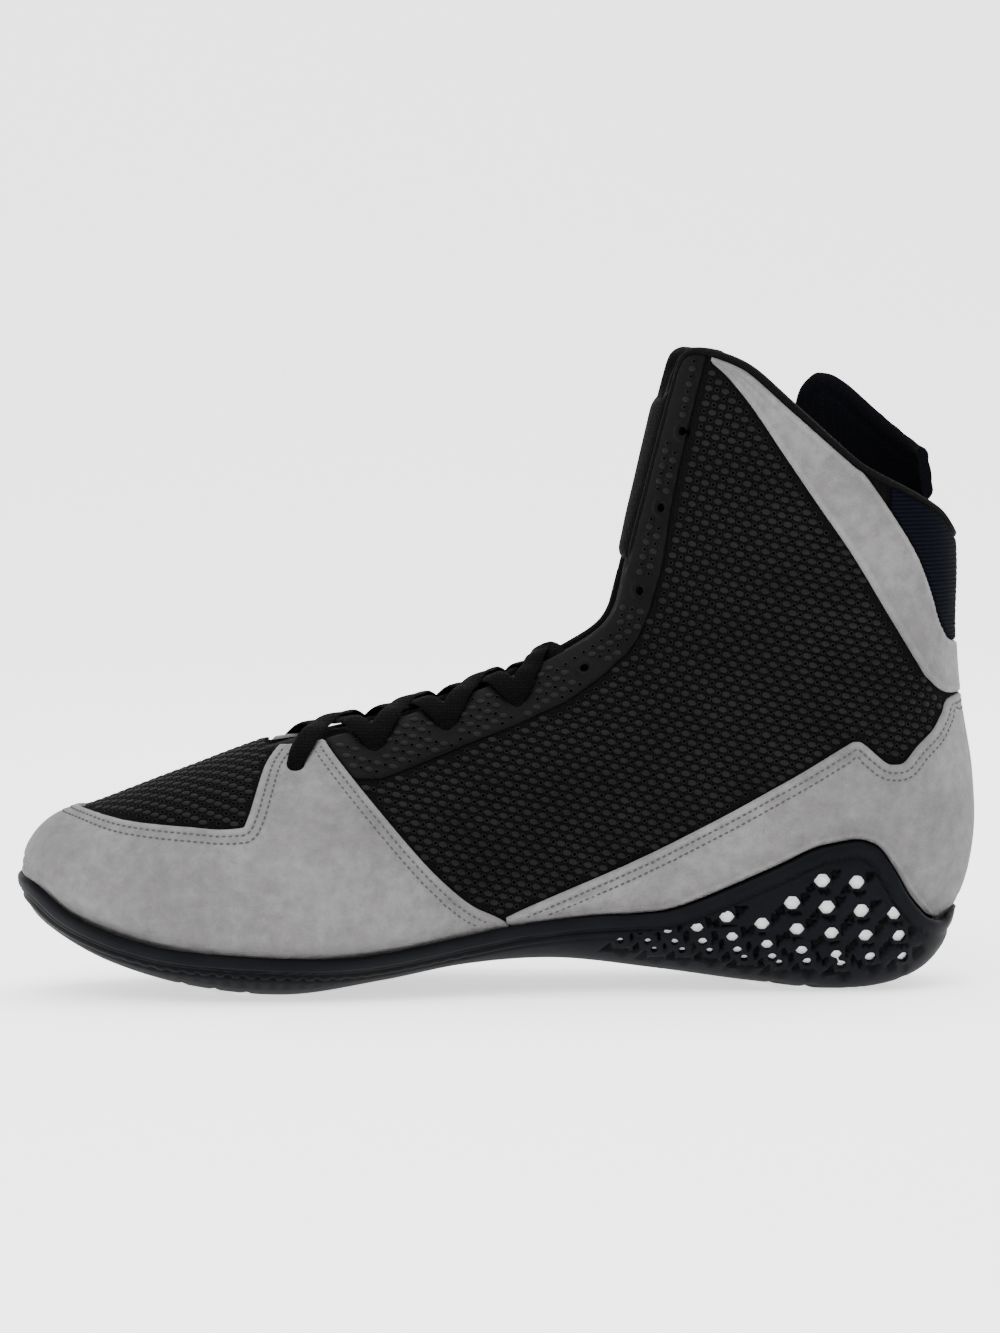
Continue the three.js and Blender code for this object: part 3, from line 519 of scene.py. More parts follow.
def foam_look(nodes, links, shader):
    specks = noise(nodes, links, 900, 3, 0.6)
    links.new(ramp(nodes, links, specks, [(0.35, (0.74, 0.74, 0.75)), (0.6, (0.88, 0.88, 0.89))]),
              shader.inputs["Base Color"])
    bump(nodes, links, shader, specks, 0.0002, 0.5)


def rib_look(nodes, links, shader):
    place = nodes.new("ShaderNodeTexCoord").outputs["Object"]
    wave = nodes.new("ShaderNodeTexWave")
    wave.bands_direction = "Z"
    wave.inputs["Scale"].default_value = 260
    wave.inputs["Distortion"].default_value = 0.6
    wave.inputs["Detail"].default_value = 1
    links.new(place, wave.inputs["Vector"])
    shades = [(0.2, (0.0012, 0.0015, 0.0028)), (0.9, (0.003, 0.0038, 0.0068))]
    links.new(ramp(nodes, links, wave.outputs["Fac"], shades), shader.inputs["Base Color"])
    bump(nodes, links, shader, wave.outputs["Fac"], 0.0006, 0.8)


def cord_look(nodes, links, shader):
    place = nodes.new("ShaderNodeTexCoord").outputs["Object"]
    cells = nodes.new("ShaderNodeTexVoronoi")
    cells.inputs["Scale"].default_value = 1150
    cells.inputs["Randomness"].default_value = 0.2
    links.new(place, cells.inputs["Vector"])
    shades = [(0.0, (0.0032, 0.0032, 0.0033)), (0.7, (0.0006, 0.0006, 0.0006))]
    links.new(ramp(nodes, links, cells.outputs["Distance"], shades), shader.inputs["Base Color"])
    height = math_node(nodes, links, "SUBTRACT", 1.0, cells.outputs["Distance"])
    bump(nodes, links, shader, height, 0.0006, 0.8)


SUEDE_DARK = (0.092, 0.0885, 0.0895)
SUEDE_MIDDLE = (0.142, 0.1375, 0.139)
SUEDE_LIGHT = (0.208, 0.202, 0.204)
LOOKS = {
    "mesh": material("mesh", (0.004, 0.004, 0.004), 0.9,
                     weave_look(1400, 0.0004, (0.001, 0.001, 0.0011), (0.0042, 0.0042, 0.0044)),
                     Specular_IOR_Level=0.04),
    "bead": material("mesh_bead", (0.014, 0.014, 0.015), 0.6,
                     rubber_look((0.003, 0.003, 0.0031), (0.0068, 0.0068, 0.0071)),
                     Specular_IOR_Level=0.08),
    # mesh_hole: flat black with no shine, painted shade standing in for the depth of small holes and
    # eyelets.
    "hole": material("mesh_hole", (0.001, 0.001, 0.001), 1.0, Specular_IOR_Level=0.0),
    "rubber": material("rubber", (0.009, 0.011, 0.015), 0.58,
                       sole_look, Specular_IOR_Level=0.045),
    "foam": material("foam", (0.85, 0.85, 0.86), 0.8, foam_look),
    "lining": material("lining", (0.005, 0.005, 0.006), 0.95,
                       weave_look(2200, 0.0002, (0.001, 0.001, 0.0011), (0.0045, 0.0045, 0.005)),
                       Specular_IOR_Level=0.06),
    "pad": material("pad", (0.006, 0.008, 0.014), 0.9,
                    weave_look(1800, 0.0003, (0.001, 0.001, 0.0016), (0.003, 0.0033, 0.005)),
                    Specular_IOR_Level=0.04),
    "suede": material("suede", SUEDE_MIDDLE, 1.0, suede_look, Sheen_Weight=0.12, Sheen_Roughness=0.45,
                      Specular_IOR_Level=0.15),
    "knit": material("knit", (0.005, 0.007, 0.012), 0.9, rib_look, Specular_IOR_Level=0.02),
    "stay": material("stay", (0.007, 0.007, 0.008), 0.6,
                     rubber_look((0.0014, 0.0014, 0.0015), (0.0032, 0.0032, 0.0034)),
                     Specular_IOR_Level=0.05),
    # Thread darker than the suede: partly its own grey, partly painted shade of the stitch holes and
    # grooves.
    "thread": material("thread", (0.045, 0.044, 0.045), 0.8, Specular_IOR_Level=0.2),
    "lace": material("lace", (0.003, 0.003, 0.003), 0.9, cord_look, Specular_IOR_Level=0.03),
}


# Objects
def add_object(name, points, faces, look, slot, replaces=(), edge=None, smooth=True, sharp=40):
    mesh = bpy.data.meshes.new(name)
    mesh.from_pydata(((points + SHIFT) * MM).tolist(), [], faces)
    if edge is not None:
        layer = mesh.attributes.new("edge", "FLOAT", "POINT")
        layer.data.foreach_set("value", np.asarray(edge, np.float32))
    mesh.validate()
    if smooth:
        mesh.polygons.foreach_set("use_smooth", [True] * len(mesh.polygons))
        mesh.set_sharp_from_angle(angle=math.radians(sharp))
    mesh.materials.append(LOOKS[look])
    piece = bpy.data.objects.new(name, mesh)
    bpy.context.scene.collection.objects.link(piece)
    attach(piece, "root")
    if replaces:
        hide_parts(*replaces)
    return piece


def sheet_piece(name, sheet, top, foot, look, slot, replaces=(), sole=False, back=False, settle=None,
                tone=None):
    """A sheet at top above the form, with a skirt down to foot and its back too if wanted."""
    outer = skin(sheet.at, sheet.round, top, sole)
    inner = skin(sheet.at, sheet.round, foot, sole)
    if settle:
        outer, inner = settle(outer), settle(inner)
    count = len(outer)
    faces = [face[::-1] for face in sheet.faces]
    rim = sheet.rim()
    tone = sheet.edge if tone is None else tone
    edge = [tone]
    if back:
        points = np.vstack([outer, inner])
        faces += [tuple(v + count for v in face) for face in sheet.faces]
        faces += [(a, b, b + count, a + count) for a, b in rim]
        edge.append(tone)
    else:
        low = sorted({v for pair in rim for v in pair})
        number = {v: count + k for k, v in enumerate(low)}
        points = np.vstack([outer, inner[low]])
        faces += [(a, b, number[b], number[a]) for a, b in rim]
        edge.append(tone[low])
    return add_object(name, points, faces, look, slot, replaces, np.concatenate(edge))


def roll(edge, height, radius, low=0.35):
    """Height of a layer's top near its edge: round, from a low side to its full height."""
    t = 1 - np.clip(edge / radius, 0, 1)
    return height * (low + (1 - low) * np.sqrt(1 - t * t))


def soft(edge, place, width):
    """A soft ridge of height 1 along a line at place from the edge."""
    return np.exp(-((edge - place) / width) ** 2)


# Regions of the side view and of the throat, mm, positive inside
def throat_side(points, s, turn, column):
    """How far a point lies from the ridge's middle beyond a column of THROAT."""
    middle = section(s)[..., 6]
    away = np.abs(points[..., 1] - middle) - throat_row(s, column)
    front = (np.cos(turn) > 0) & (s > THROAT[0, 0])
    return np.where(front, away, 99.0)


def side(region, points):
    return signed(region, points[..., 0], points[..., 2])


def least(*fields):
    return np.minimum.reduce(fields)


RIM_PART = WALL + GAP


def common(points, s, turn):
    """Above the feather line, under the rim and outside the throat."""
    return least(-side(UNDER_FEATHER, points) - GAP, side(UNDER_RIM, points) - RIM_PART,
                 throat_side(points, s, turn, 1))


def contours(s, turn, field, keep):
    """Lines where a field is 0, as rows of section number and turn."""
    flat, rows, cols = field.ravel(), *field.shape
    index = np.arange(rows * cols).reshape(rows, cols)
    cells = np.stack([index[:-1, :-1], index[1:, :-1], index[1:, 1:], index[:-1, 1:]], -1).reshape(-1, 4)
    signs = flat[cells] > 0
    mixed = (signs.any(1)) & (~signs.all(1)) & keep.ravel()[cells].all(1)
    links, place = {}, {}
    for quad in cells[mixed].tolist():
        ends = []
        for a, b in zip(quad, quad[1:] + quad[:1]):
            if (flat[a] > 0) != (flat[b] > 0):
                key = (min(a, b), max(a, b))
                t = flat[key[0]] / (flat[key[0]] - flat[key[1]])
                place[key] = (mix(s.ravel()[key[0]], s.ravel()[key[1]], t),
                              mix(turn.ravel()[key[0]], turn.ravel()[key[1]], t))
                ends.append(key)
        if len(ends) == 2:
            links.setdefault(ends[0], []).append(ends[1])
            links.setdefault(ends[1], []).append(ends[0])
    lines, seen = [], set()
    starts = [k for k, v in links.items() if len(v) == 1] + list(links)
    for start in starts:
        if start in seen:
            continue
        line, here = [], start
        while here is not None:
            seen.add(here)
            line.append(place[here])
            here = next((k for k in links[here] if k not in seen), None)
        if len(line) > 4:
            lines.append(np.array(line))
    return lines


def frames_on(at, turn, along, sole=False):
    """Normal, run and side vectors of the surface, run being along laid on it."""
    up = normal(at, turn, sole)
    run = unit(along - up * (along * up).sum(-1, keepdims=True))
    return up, run, np.cross(up, run)


def scatter(shape_points, shape_faces, places, run, across, up):
    """One joined mesh of copies of a small shape, each in its own frame."""
    p = np.asarray(shape_points, float)
    points = (places[:, None, :] + p[None, :, 0:1] * run[:, None, :] + p[None, :, 1:2] * across[:, None, :]
              + p[None, :, 2:3] * up[:, None, :]).reshape(-1, 3)
    faces = []
    for k in range(len(places)):
        base = k * len(p)
        faces += [tuple(v + base for v in face) for face in shape_faces]
    return points, faces


def dome(length, width, height, around=8, rings=2, sink=0.2):
    """Low rounded grain with its foot sunk a little."""
    points, faces = [], []
    for r in range(rings + 1):
        t = math.pi / 2 * r / (rings + 1)
        for k in range(around):
            a = 2 * math.pi * k / around
            z = -sink if r == 0 else height * math.sin(t)
            reach = 1.0 if r == 0 else math.cos(t)
            points.append((length / 2 * reach * math.cos(a), width / 2 * reach * math.sin(a), z))
    points.append((0, 0, height))
    for r in range(rings):
        for k in range(around):
            a, b = r * around + k, r * around + (k + 1) % around
            faces.append((a, b, b + around, a + around))
    top = rings * around
    faces += [(top + k, top + (k + 1) % around, len(points) - 1) for k in range(around)]
    return points, faces


def ring_shape(outer, inner, height, around=10, sink=0.15):
    """Flat raised ring round a small hole."""
    points, faces = [], []
    middle = (outer + inner) / 2
    shoulder = outer * 0.93 + inner * 0.07
    for radius, z in ((outer, -sink), (shoulder, height * 0.75), (middle, height), (inner, -sink)):
        for k in range(around):
            a = 2 * math.pi * k / around
            points.append((radius * math.cos(a), radius * math.sin(a), z))
    for r in range(3):
        for k in range(around):
            a, b = r * around + k, r * around + (k + 1) % around
            faces.append((a, b, b + around, a + around))
    return points, faces


def disc_shape(radius, height, around=10):
    angles = [2 * math.pi * k / around for k in range(around)]
    points = [(radius * math.cos(a), radius * math.sin(a), height) for a in angles]
    return points, [tuple(range(around))]


def capsule(length, width, height):
    """Stitch: a short rounded thread lying on the surface."""
    points, faces = [(-length / 2, 0, -0.1)], []
    for x, r in ((-0.42, 0.65), (-0.15, 1.0), (0.15, 1.0), (0.42, 0.65)):
        for k in range(6):
            a = math.pi * k / 5
            points.append((x * length, width / 2 * r * math.cos(a), height * r * math.sin(a) - 0.08))
    points.append((length / 2, 0, -0.1))
    for r in range(3):
        for k in range(5):
            a = 1 + r * 6 + k
            faces.append((a, a + 6, a + 7, a + 1))
    faces += [(0, 1 + k, 2 + k) for k in range(5)]
    last = len(points) - 1
    faces += [(last, last - 5 + k, last - 6 + k) for k in range(1, 5)]
    return points, faces


def stitch_row(name, lines, away, pitch=1.9, length=1.3, width=0.6, height=0.3, look="thread", sole=False):
    """Stitches along lines of section number and turn."""
    places, runs, ups = [], [], []
    for line in lines:
        path = skin(line[:, 0], line[:, 1], away, sole)
        steps = np.linalg.norm(np.diff(path, axis=0), axis=1)
        travelled = np.concatenate([[0], np.cumsum(steps)])
        number = np.arange(len(line))
        count = int(travelled[-1] / pitch)
        if count < 2:
            continue
        at = (np.arange(count) + 0.5) * travelled[-1] / count
        share = np.interp(at, travelled, number)
        s = np.interp(share, number, line[:, 0])
        turn = np.interp(share, number, line[:, 1])
        centre = skin(s, turn, away, sole)
        before = np.stack([np.interp(at - 1.2, travelled, path[:, k]) for k in range(3)], -1)
        after = np.stack([np.interp(at + 1.2, travelled, path[:, k]) for k in range(3)], -1)
        places.append(centre)
        runs.append(unit(after - before))
        ups.append(normal(s, turn, sole))
    if not places:
        return None
    places, runs, ups = np.vstack(places), np.vstack(runs), np.vstack(ups)
    across = unit(np.cross(ups, runs))
    points, faces = scatter(*capsule(length, width, height), places, runs, across, ups)
    return add_object(name, points, faces, look, "suede")


def find(x, z, medial=True, sole=False):
    """Section numbers and turns of the points of one side at places in the side view, mm."""
    sign = 1 if medial else -1
    s0, t0 = np.meshgrid(np.linspace(0.1, LAST - 0.05, 161), np.linspace(0.03, 0.97, 49) * math.pi,
                         indexing="ij")
    known = form_point(s0, sign * t0, sole)[..., [0, 2]].reshape(-1, 2)
    near = np.empty(len(x), int)
    for k in range(0, len(x), 400):
        d = ((known[None, :, :] - np.stack([x, z], -1)[k:k + 400, None, :]) ** 2).sum(-1)
        near[k:k + 400] = d.argmin(1)
    s, t = s0.ravel()[near].copy(), t0.ravel()[near].copy()
    step = 1e-3
    for _ in range(12):
        p = form_point(s, sign * t, sole)
        ds = (form_point(s + step, sign * t, sole) - p) / step
        dt = (form_point(s, sign * (t + step), sole) - p) / step
        ex, ez = x - p[:, 0], z - p[:, 2]
        det = ds[:, 0] * dt[:, 2] - ds[:, 2] * dt[:, 0]
        det = np.where(np.abs(det) < 1e-6, 1e-6, det)
        s = np.clip(s + np.clip((ex * dt[:, 2] - ez * dt[:, 0]) / det, -0.4, 0.4), 0.03, LAST)
        t = np.clip(t + np.clip((ez * ds[:, 0] - ex * ds[:, 2]) / det, -0.2, 0.2), 0.01, math.pi - 0.01)
    p = form_point(s, sign * t, sole)
    good = np.hypot(p[:, 0] - x, p[:, 2] - z) < 0.3
    return s, sign * t, good


def turn_across(at, y):
    row = section(at)
    width = np.where(y > 0, row[..., 9], row[..., 8])
    out = np.minimum(np.abs(y) / width, 0.98)
    return -np.sign(y) * np.arccos((1 - out * out) ** (1 / row[..., 11]))


# Eyelets: section number and turn on the medial side; the first four are laced
EYELETS = np.array([(5.08, 0.615), (5.94, 0.572), (6.76, 0.563), (7.69, 0.572),
                    (9.03, 0.528), (12.85, 0.463), (15.73, 0.524), (17.55, 0.575)])
EYELET_HOLE = 1.4
TOP = GAP + OVERLAY


STAY_HIGH, STAY_RIM, STAY_STEP, EYELET_CLEAR = 0.85, 2.2, 0.7, 4.6


def eyelet_places(sign):
    return skin(EYELETS[:, 0], sign * EYELETS[:, 1], TOP)


# Upper
def make_upper():
    s, turn = grid(NEAR_TOE, LAST, 1.9, 0, 2 * math.pi)
    points = form_point(s, turn)
    field = least(-side(UNDER_FLOOR, points) - GAP, side(UNDER_RIM, points) - RIM_PART,
                  throat_side(points, s, turn, 1))
    for sign in (1, -1):
        for place in eyelet_places(sign):
            field = np.minimum(field, np.linalg.norm(points - place, axis=-1) - EYELET_HOLE - 0.6)
    sheet = Sheet(s, turn, field)
    sheet_piece("upper_mesh", sheet, 0.0, -WALL, "mesh", "mesh", ("upper",))
    s, turn = grid(NEAR_TOE, LAST, 3.2, 0, 2 * math.pi)
    points = form_point(s, turn)
    field = least(-side(UNDER_FLOOR, points) - GAP, side(UNDER_RIM, points) - RIM_PART,
                  throat_side(points, s, turn, 1))
    sheet = Sheet(s, turn, field)
    inner = skin(sheet.at, sheet.round, -WALL)
    add_object("upper_lining", inner, sheet.faces, "lining", "lining")


STITCH_ROWS = (2.4, 4.6)


def suede_top(edge):
    height = roll(edge, OVERLAY, 1.3) + 0.1 * soft(edge, 1.2, 0.7)
    for place in STITCH_ROWS:
        height = height - 0.3 * soft(edge, place, 0.55)
    return GAP + height


def suede_panel(name, node, span, turns, seam, region, step=1.15):
    """A suede panel where region is positive; its stitches follow seam, its edges on the mesh."""
    s, turn = grid(*span, step, *turns)
    points = form_point(s, turn)
    outside = common(points, s, turn)
    inside = region(points)
    field = even(least(outside, inside), points)
    sheet = Sheet(s, turn, field)
    sheet_piece(name, sheet, suede_top(sheet.edge), 0.05, "suede", "suede", (node,))
    line = even(seam(points), points)
    lines = []
    for place in STITCH_ROWS:
        lines += contours(s, turn, line - place, (outside > 2.0) & (inside > 0.5))
    stitch_row(name + "_stitches", lines, GAP + OVERLAY - 0.12)
    return sheet


def make_panels():
    suede_panel("toe_wrap_suede", "toe_wrap", (NEAR_TOE, 9.4), (-math.pi, math.pi),
                lambda p: least(side(WRAP, p), -side(TOE_WINDOW, p)),
                lambda p: least(side(WRAP, p), -side(TOE_WINDOW, p)))
    suede_panel("heel_counter_suede", "heel_counter", (7.4, 17.0), (0.3, 2 * math.pi - 0.3),
                lambda p: side(UNDER_COUNTER_TOP, p),
                lambda p: least(side(UNDER_COUNTER_TOP, p), -side(WRAP, p) - GAP))


def make_band():
    s, turn = grid(12.5, LAST, 1.1, 0.5, 2 * math.pi - 0.5)
    points = form_point(s, turn)
    region = side(BAND, points)
    outside = least(side(UNDER_RIM, points) - RIM_PART, throat_side(points, s, turn, 1))
    sheet = Sheet(s, turn, even(least(region, outside), points))
    top = GAP + roll(sheet.edge, OVERLAY, 0.8)
    sheet_piece("ankle_band_suede", sheet, top, 0.05, "suede", "suede", ("ankle_band",))


def make_achilles():
    s, turn = grid(14.0, LAST, 0.8, 2.0, 2 * math.pi - 2.0)
    points = form_point(s, turn)
    region = side(ACHILLES, points)
    outside = side(UNDER_RIM, points) - RIM_PART
    sheet = Sheet(s, turn, even(least(region, outside), points))
    ribs = 0.1 * np.cos(2 * math.pi * sheet.take(points)[:, 2] / 1.9)
    top = GAP + roll(sheet.edge, OVERLAY * 0.75, 1.2) + ribs * np.clip(sheet.edge / 1.5, 0, 1)
    sheet_piece("achilles_knit", sheet, top, 0.05, "knit", "knit", ("achilles_panel",))


def make_stays():
    for sign, node in ((1, "eyestay_medial"), (-1, "eyestay_lateral")):
        turns = sorted((sign * 0.02, sign * 1.45))
        s, turn = grid(4.75, LAST, 0.9, *turns)
        points = form_point(s, turn)
        region = least(-throat_side(points, s, turn, 2), throat_side(points, s, turn, 1),
                       side(UNDER_RIM, points) - RIM_PART, -side(WRAP, points) - GAP,
                       -side(BAND, points) - GAP)
        hole = np.full(region.shape, 99.0)
        for place in eyelet_places(sign):
            away = np.linalg.norm(points + normal(s, turn) * TOP - place, axis=-1)
            hole = np.minimum(hole, away - EYELET_HOLE)
        sheet = Sheet(s, turn, least(even(region, points), hole))
        near = sheet.take(hole)
        edge = sheet.take(even(region, points))
        top = GAP + roll(edge, STAY_HIGH, 1.0) + 0.4 * soft(near, 0.9, 0.6)
        sheet_piece(node + "_film", sheet, top, 0.0, "stay", "stay", (node,))
        up = normal(EYELETS[:, 0], sign * EYELETS[:, 1])
        _, run, across = frames_on(EYELETS[:, 0], sign * EYELETS[:, 1], np.array([1.0, 0.0, 0.0]) + 0 * up)
        # Black discs under the eyelet holes: painted shade filling each hole.
        shape = disc_shape(EYELET_HOLE + 0.9, 0, 14)
        centre = skin(EYELETS[:, 0], sign * EYELETS[:, 1], 0.02)
        points, faces = scatter(*shape, centre, run, across, up)
        add_object(node + "_holes", points, faces, "hole", "stay")


# Knitted mesh: raised oval beads and small ringed holes in staggered rows
CELL = 2.3
ROW_LEAN = math.radians(-12)
BEAD = (3.1, 1.9, 0.5)


def mesh_gap(points, s, turn):
    """Room round a place on the bare mesh, to the nearest panel, mm."""
    return least(common(points, s, turn), -side(UNDER_COUNTER_TOP, points), -side(BAND, points),
                 -side(ACHILLES, points), -least(side(WRAP, points), -side(TOE_WINDOW, points)),
                 throat_side(points, s, turn, 1) - STAY_RIM)


def lattice(x0, x1, z0, z1, lean):
    """Staggered places in a leaning lattice: odd ones are holes."""
    reach = np.arange(-120, 121)
    i, j = np.meshgrid(reach, reach, indexing="ij")
    a, b = i * CELL, j * CELL
    x = a * math.cos(lean) - b * math.sin(lean) + (x0 + x1) / 2
    z = a * math.sin(lean) + b * math.cos(lean) + (z0 + z1) / 2
    inside = (x > x0) & (x < x1) & (z > z0) & (z < z1)
    hole = (i + j) % 2 == 1
    return x[inside], z[inside], hole[inside]


def make_beads():
    at, turn, hole = [], [], []
    for medial in (True, False):
        x, z, h = lattice(-60, 142, 10, 192, ROW_LEAN)
        s, t, good = find(x, z, medial)
        keep = good & (s > 4.6)
        at.append(s[keep])
        turn.append(t[keep])
        hole.append(h[keep])
    x, v, h = lattice(-137, -58, -62, 62, 0.0)
    s0 = stations(0.3, 6.0, 1.0)
    ridge = form_point(s0, 0 * s0)[:, 0]
    s = np.interp(x, ridge, s0)
    dense = np.linspace(0, 1.45, 60)
    t = np.empty(len(x))
    for k in range(len(x)):
        sign = 1 if v[k] < 0 else -1
        arc = form_point(np.full(60, s[k]), sign * dense)
        travelled = np.concatenate([[0], np.cumsum(np.linalg.norm(np.diff(arc, axis=0), axis=1))])
        t[k] = sign * np.interp(abs(v[k]), travelled, dense)
    front = form_point(s, t)[:, 0] < -60
    at.append(s[front])
    turn.append(t[front])
    hole.append(h[front])
    at, turn, hole = np.concatenate(at), np.concatenate(turn), np.concatenate(hole)
    points = form_point(at, turn)
    room = mesh_gap(points, at, turn)
    beyond = throat_side(points, at, turn, 2)
    fits = (room > 1.2) & (np.abs(beyond) > STAY_STEP)
    for sign in (1, -1):
        for place in form_point(EYELETS[:, 0], sign * EYELETS[:, 1]):
            fits &= np.linalg.norm(points - place, axis=-1) > EYELET_CLEAR
    at, turn, hole = at[fits], turn[fits], hole[fits]
    height = np.where(beyond[fits] > 0, 0.0, GAP + STAY_HIGH)
    lean = np.array([math.cos(ROW_LEAN), 0.0, math.sin(ROW_LEAN)])
    up, run, across = frames_on(at, turn, lean + 0 * points[fits])
    centre = skin(at, turn, height)
    grain, ringed = ~hole, hole
    shape = dome(*BEAD)
    made = scatter(*shape, centre[grain], run[grain], across[grain], up[grain])
    add_object("mesh_beads", *made, "bead", "mesh")
    ring = ring_shape(0.85, 0.42, 0.26, 8)
    made = scatter(*ring, centre[ringed], run[ringed], across[ringed], up[ringed])
    add_object("mesh_rings", *made, "bead", "mesh")
    # Black discs in the rings: painted shade standing in for the open pinholes.
    made = scatter(*disc_shape(0.44, 0.06, 8), centre[ringed], run[ringed], across[ringed], up[ringed])
    add_object("mesh_holes", *made, "hole", "mesh")
    print("beads", int(grain.sum()), "holes", int(ringed.sum()))


# Sole
# Rows of the lattice in the sole's side: along and pitch are shares of LENGTH, up, fall and bend
# of INSTEP, then the first and last number in the row and the height of its spots, mm
LATTICE_ROWS = [
    (0.3256, 0.341, 0.006, 0.0000, 0, 1, 4.0), (0.2942, 0.275, 0.015, 0.0010, 0, 3, 4.0),
    (0.2631, 0.212, 0.019, 0.0020, -1, 4, 3.7), (0.2325, 0.171, 0.026, 0.0024, -1, 5, 3.1),
    (0.2021, 0.157, 0.030, 0.0030, -1, 4, 2.5), (0.1732, 0.156, 0.031, 0.0030, -1, 3, 2.1),
    (0.1450, 0.158, 0.031, 0.0030, 0, 1, 2.0), (0.1161, 0.160, 0.031, 0.0030, 0, 1, 1.9),
]
LATTICE_PITCH = 0.0367

# Grooves of the bottom: along in LENGTH, middle and reach in BALL_WIDTH, up in STACK
GROOVES = np.array([
    (-0.352, -0.055, 0.28, 0.50), (-0.318, -0.045, 0.32, 0.34), (-0.284, -0.035, 0.34, 0.22),
    (-0.178, -0.005, 0.34, 0.22), (-0.144, 0.005, 0.33, 0.37), (0.270, 0.010, 0.26, 0.30),
    (0.304, 0.010, 0.25, 0.22), (0.410, 0.005, 0.22, 0.31),
])
GROOVE_WIDE, GROOVE_BEND = 2.6, 5.0
TEETH = 4.4


def hex_places():
    places = []
    for along, up, fall, bend, first, last, high in LATTICE_ROWS:
        for k in range(first, last + 1):
            x = LENGTH * (along + LATTICE_PITCH * k)
            z = INSTEP * (up - fall * k + bend * k * k)
            places.append((x, z, high))
    return places


def hexes(x, z):
    """Nearest spot of the sole's lattice: distance to its edge and place in its cell."""
    best = np.full(x.shape, 99.0)
    dx, dz = np.zeros(x.shape), np.full(x.shape, 99.0)
    for cx, cz, high in hex_places():
        u, v = x - cx, z - cz
        reach = np.maximum(np.abs(u) * 0.76 + np.abs(v) * 0.62, np.abs(v))
        nearer = u * u + (1.4 * v) ** 2 < dx * dx + (1.4 * dz) ** 2
        dx, dz = np.where(nearer, u, dx), np.where(nearer, v, dz)
        best = np.minimum(best, reach - high / 2)
    return best, dx, dz


def triangle(u, v, corners):
    """Distance inside a small triangle of the lattice's cell, mm."""
    (ax, ay), (bx, by), (cx, cy) = corners
    turn = math.copysign(1, (bx - ax) * (cy - ay) - (by - ay) * (cx - ax))
    out = np.full(u.shape, 99.0)
    for (px, py), (qx, qy) in (((ax, ay), (bx, by)), ((bx, by), (cx, cy)), ((cx, cy), (ax, ay))):
        length = math.hypot(qx - px, qy - py)
        out = np.minimum(out, turn * ((qx - px) * (v - py) - (qy - py) * (u - px)) / length)
    return out


def step_up(value, width=0.35):
    return np.clip(value / width + 0.5, 0, 1)


def make_outsole():
    s, turn = grid(NEAR_TOE, SOLE_UNTIL, 0.8, *SOLE_TURNS, sole=True,
                   weight=lambda t: np.where(np.abs(t - math.pi) < 0.5, 0.45, 1.0))
    points = skin(s, turn, PROUD, True)
    x, z = points[..., 0], points[..., 2]
    under = side(UNDER_FEATHER, points) - GAP
    hole, u, v = hexes(x, z)
    open_zone = least(under - 5.0, z - 2.6, x + 8.0)
    flat_side = np.abs(normal(s, turn, True)[..., 1])
    hole = np.where((open_zone > 0.5) & (flat_side > 0.55), hole, 99.0)
    field = least(even(under, points), hole)
    sheet = Sheet(s, turn, field)
    e = sheet.take(under)
    px = sheet.take(x)
    zone = sheet.take(open_zone)
    uu, vv = sheet.take(u), sheet.take(v)
    steep = np.clip((sheet.take(flat_side) - 0.35) / 0.3, 0, 1)
    relief = roll(e, 1.5, 1.6, 0.2) - 1.5
    relief -= 0.75 * soft(e, 5.0, 0.55) + 0.35 * soft(e, 6.6, 0.4)
    within = np.clip(zone / 0.8, 0, 1) * steep
    right = triangle(uu, vv, ((2.6, 3.0), (6.4, 3.0), (3.0, -0.6)))
    left = triangle(uu, vv, ((-5.6, -3.4), (-2.6, -0.2), (-2.0, -3.2)))
    relief -= 1.15 * within * (step_up(right) + step_up(left))
    notch = triangle(uu, vv, ((-1.6, -2.6), (3.2, -2.6), (1.2, -5.4)))
    relief -= 1.0 * within * step_up(notch)
    relief -= 1.1 * step_up(px - 133.0, 8.0) * soft(e, 0.0, 5.0)
    front = step_up(-12.0 - px, 6.0) * steep * np.clip((e - 5.4) / 0.8, 0, 1)
    relief -= 1.0 * front * step_up(np.cos(2 * math.pi * px / TEETH) - 0.2, 0.4)
    relief -= 0.5 * soft(e, 3.9, 0.4)
    top = PROUD + relief

    def settle(p):
        low = 1 - np.clip(p[:, 2] / 1.0, 0, 1)
        p = p.copy()
        p[:, 2] = np.maximum(p[:, 2], 0)
        for along, middle, reach, up in GROOVES:
            run = p[:, 0] - along * LENGTH
            across = p[:, 1] - middle * BALL_WIDTH
            bar = np.abs(run - GROOVE_BEND * np.abs(across) / (reach * BALL_WIDTH)) - GROOVE_WIDE / 2
            cut = step_up(-np.maximum(bar, np.abs(across) - reach * BALL_WIDTH), 0.9)
            p[:, 2] += cut * np.maximum(up * STACK - p[:, 2], 0) * (p[:, 2] < up * STACK)
        return p

    # tone, stored in the edge attribute and read by the rubber's colour, is painted shade: lower in the
    # recesses, grooves and rolled top edge, and down to 0.65 where the sole faces down or end-on rather
    # than sideways.
    tone = np.clip(1 + relief / 1.1, 0, 1) * np.clip(0.35 + 0.65 * steep + 0.3, 0, 1)
    sheet_piece("outsole_rubber", sheet, top, PROUD - RUBBER, "rubber", "rubber", ("outsole",), sole=True,
                settle=settle, tone=tone)


def make_midsole():
    s, turn = grid(NEAR_TOE, SOLE_UNTIL, 2.6, *SOLE_TURNS, sole=True)
    points = skin(s, turn, PROUD, True)
    under = side(UNDER_FEATHER, points) - GAP
    sheet = Sheet(s, turn, under - 3.2)

    def settle(p):
        p = p.copy()
        p[:, 2] = np.maximum(p[:, 2], 1.8)
        return p

    sheet_piece("midsole_foam", sheet, PROUD - RUBBER - GAP, 0.4, "foam", "foam", ("midsole",), sole=True,
                settle=settle)


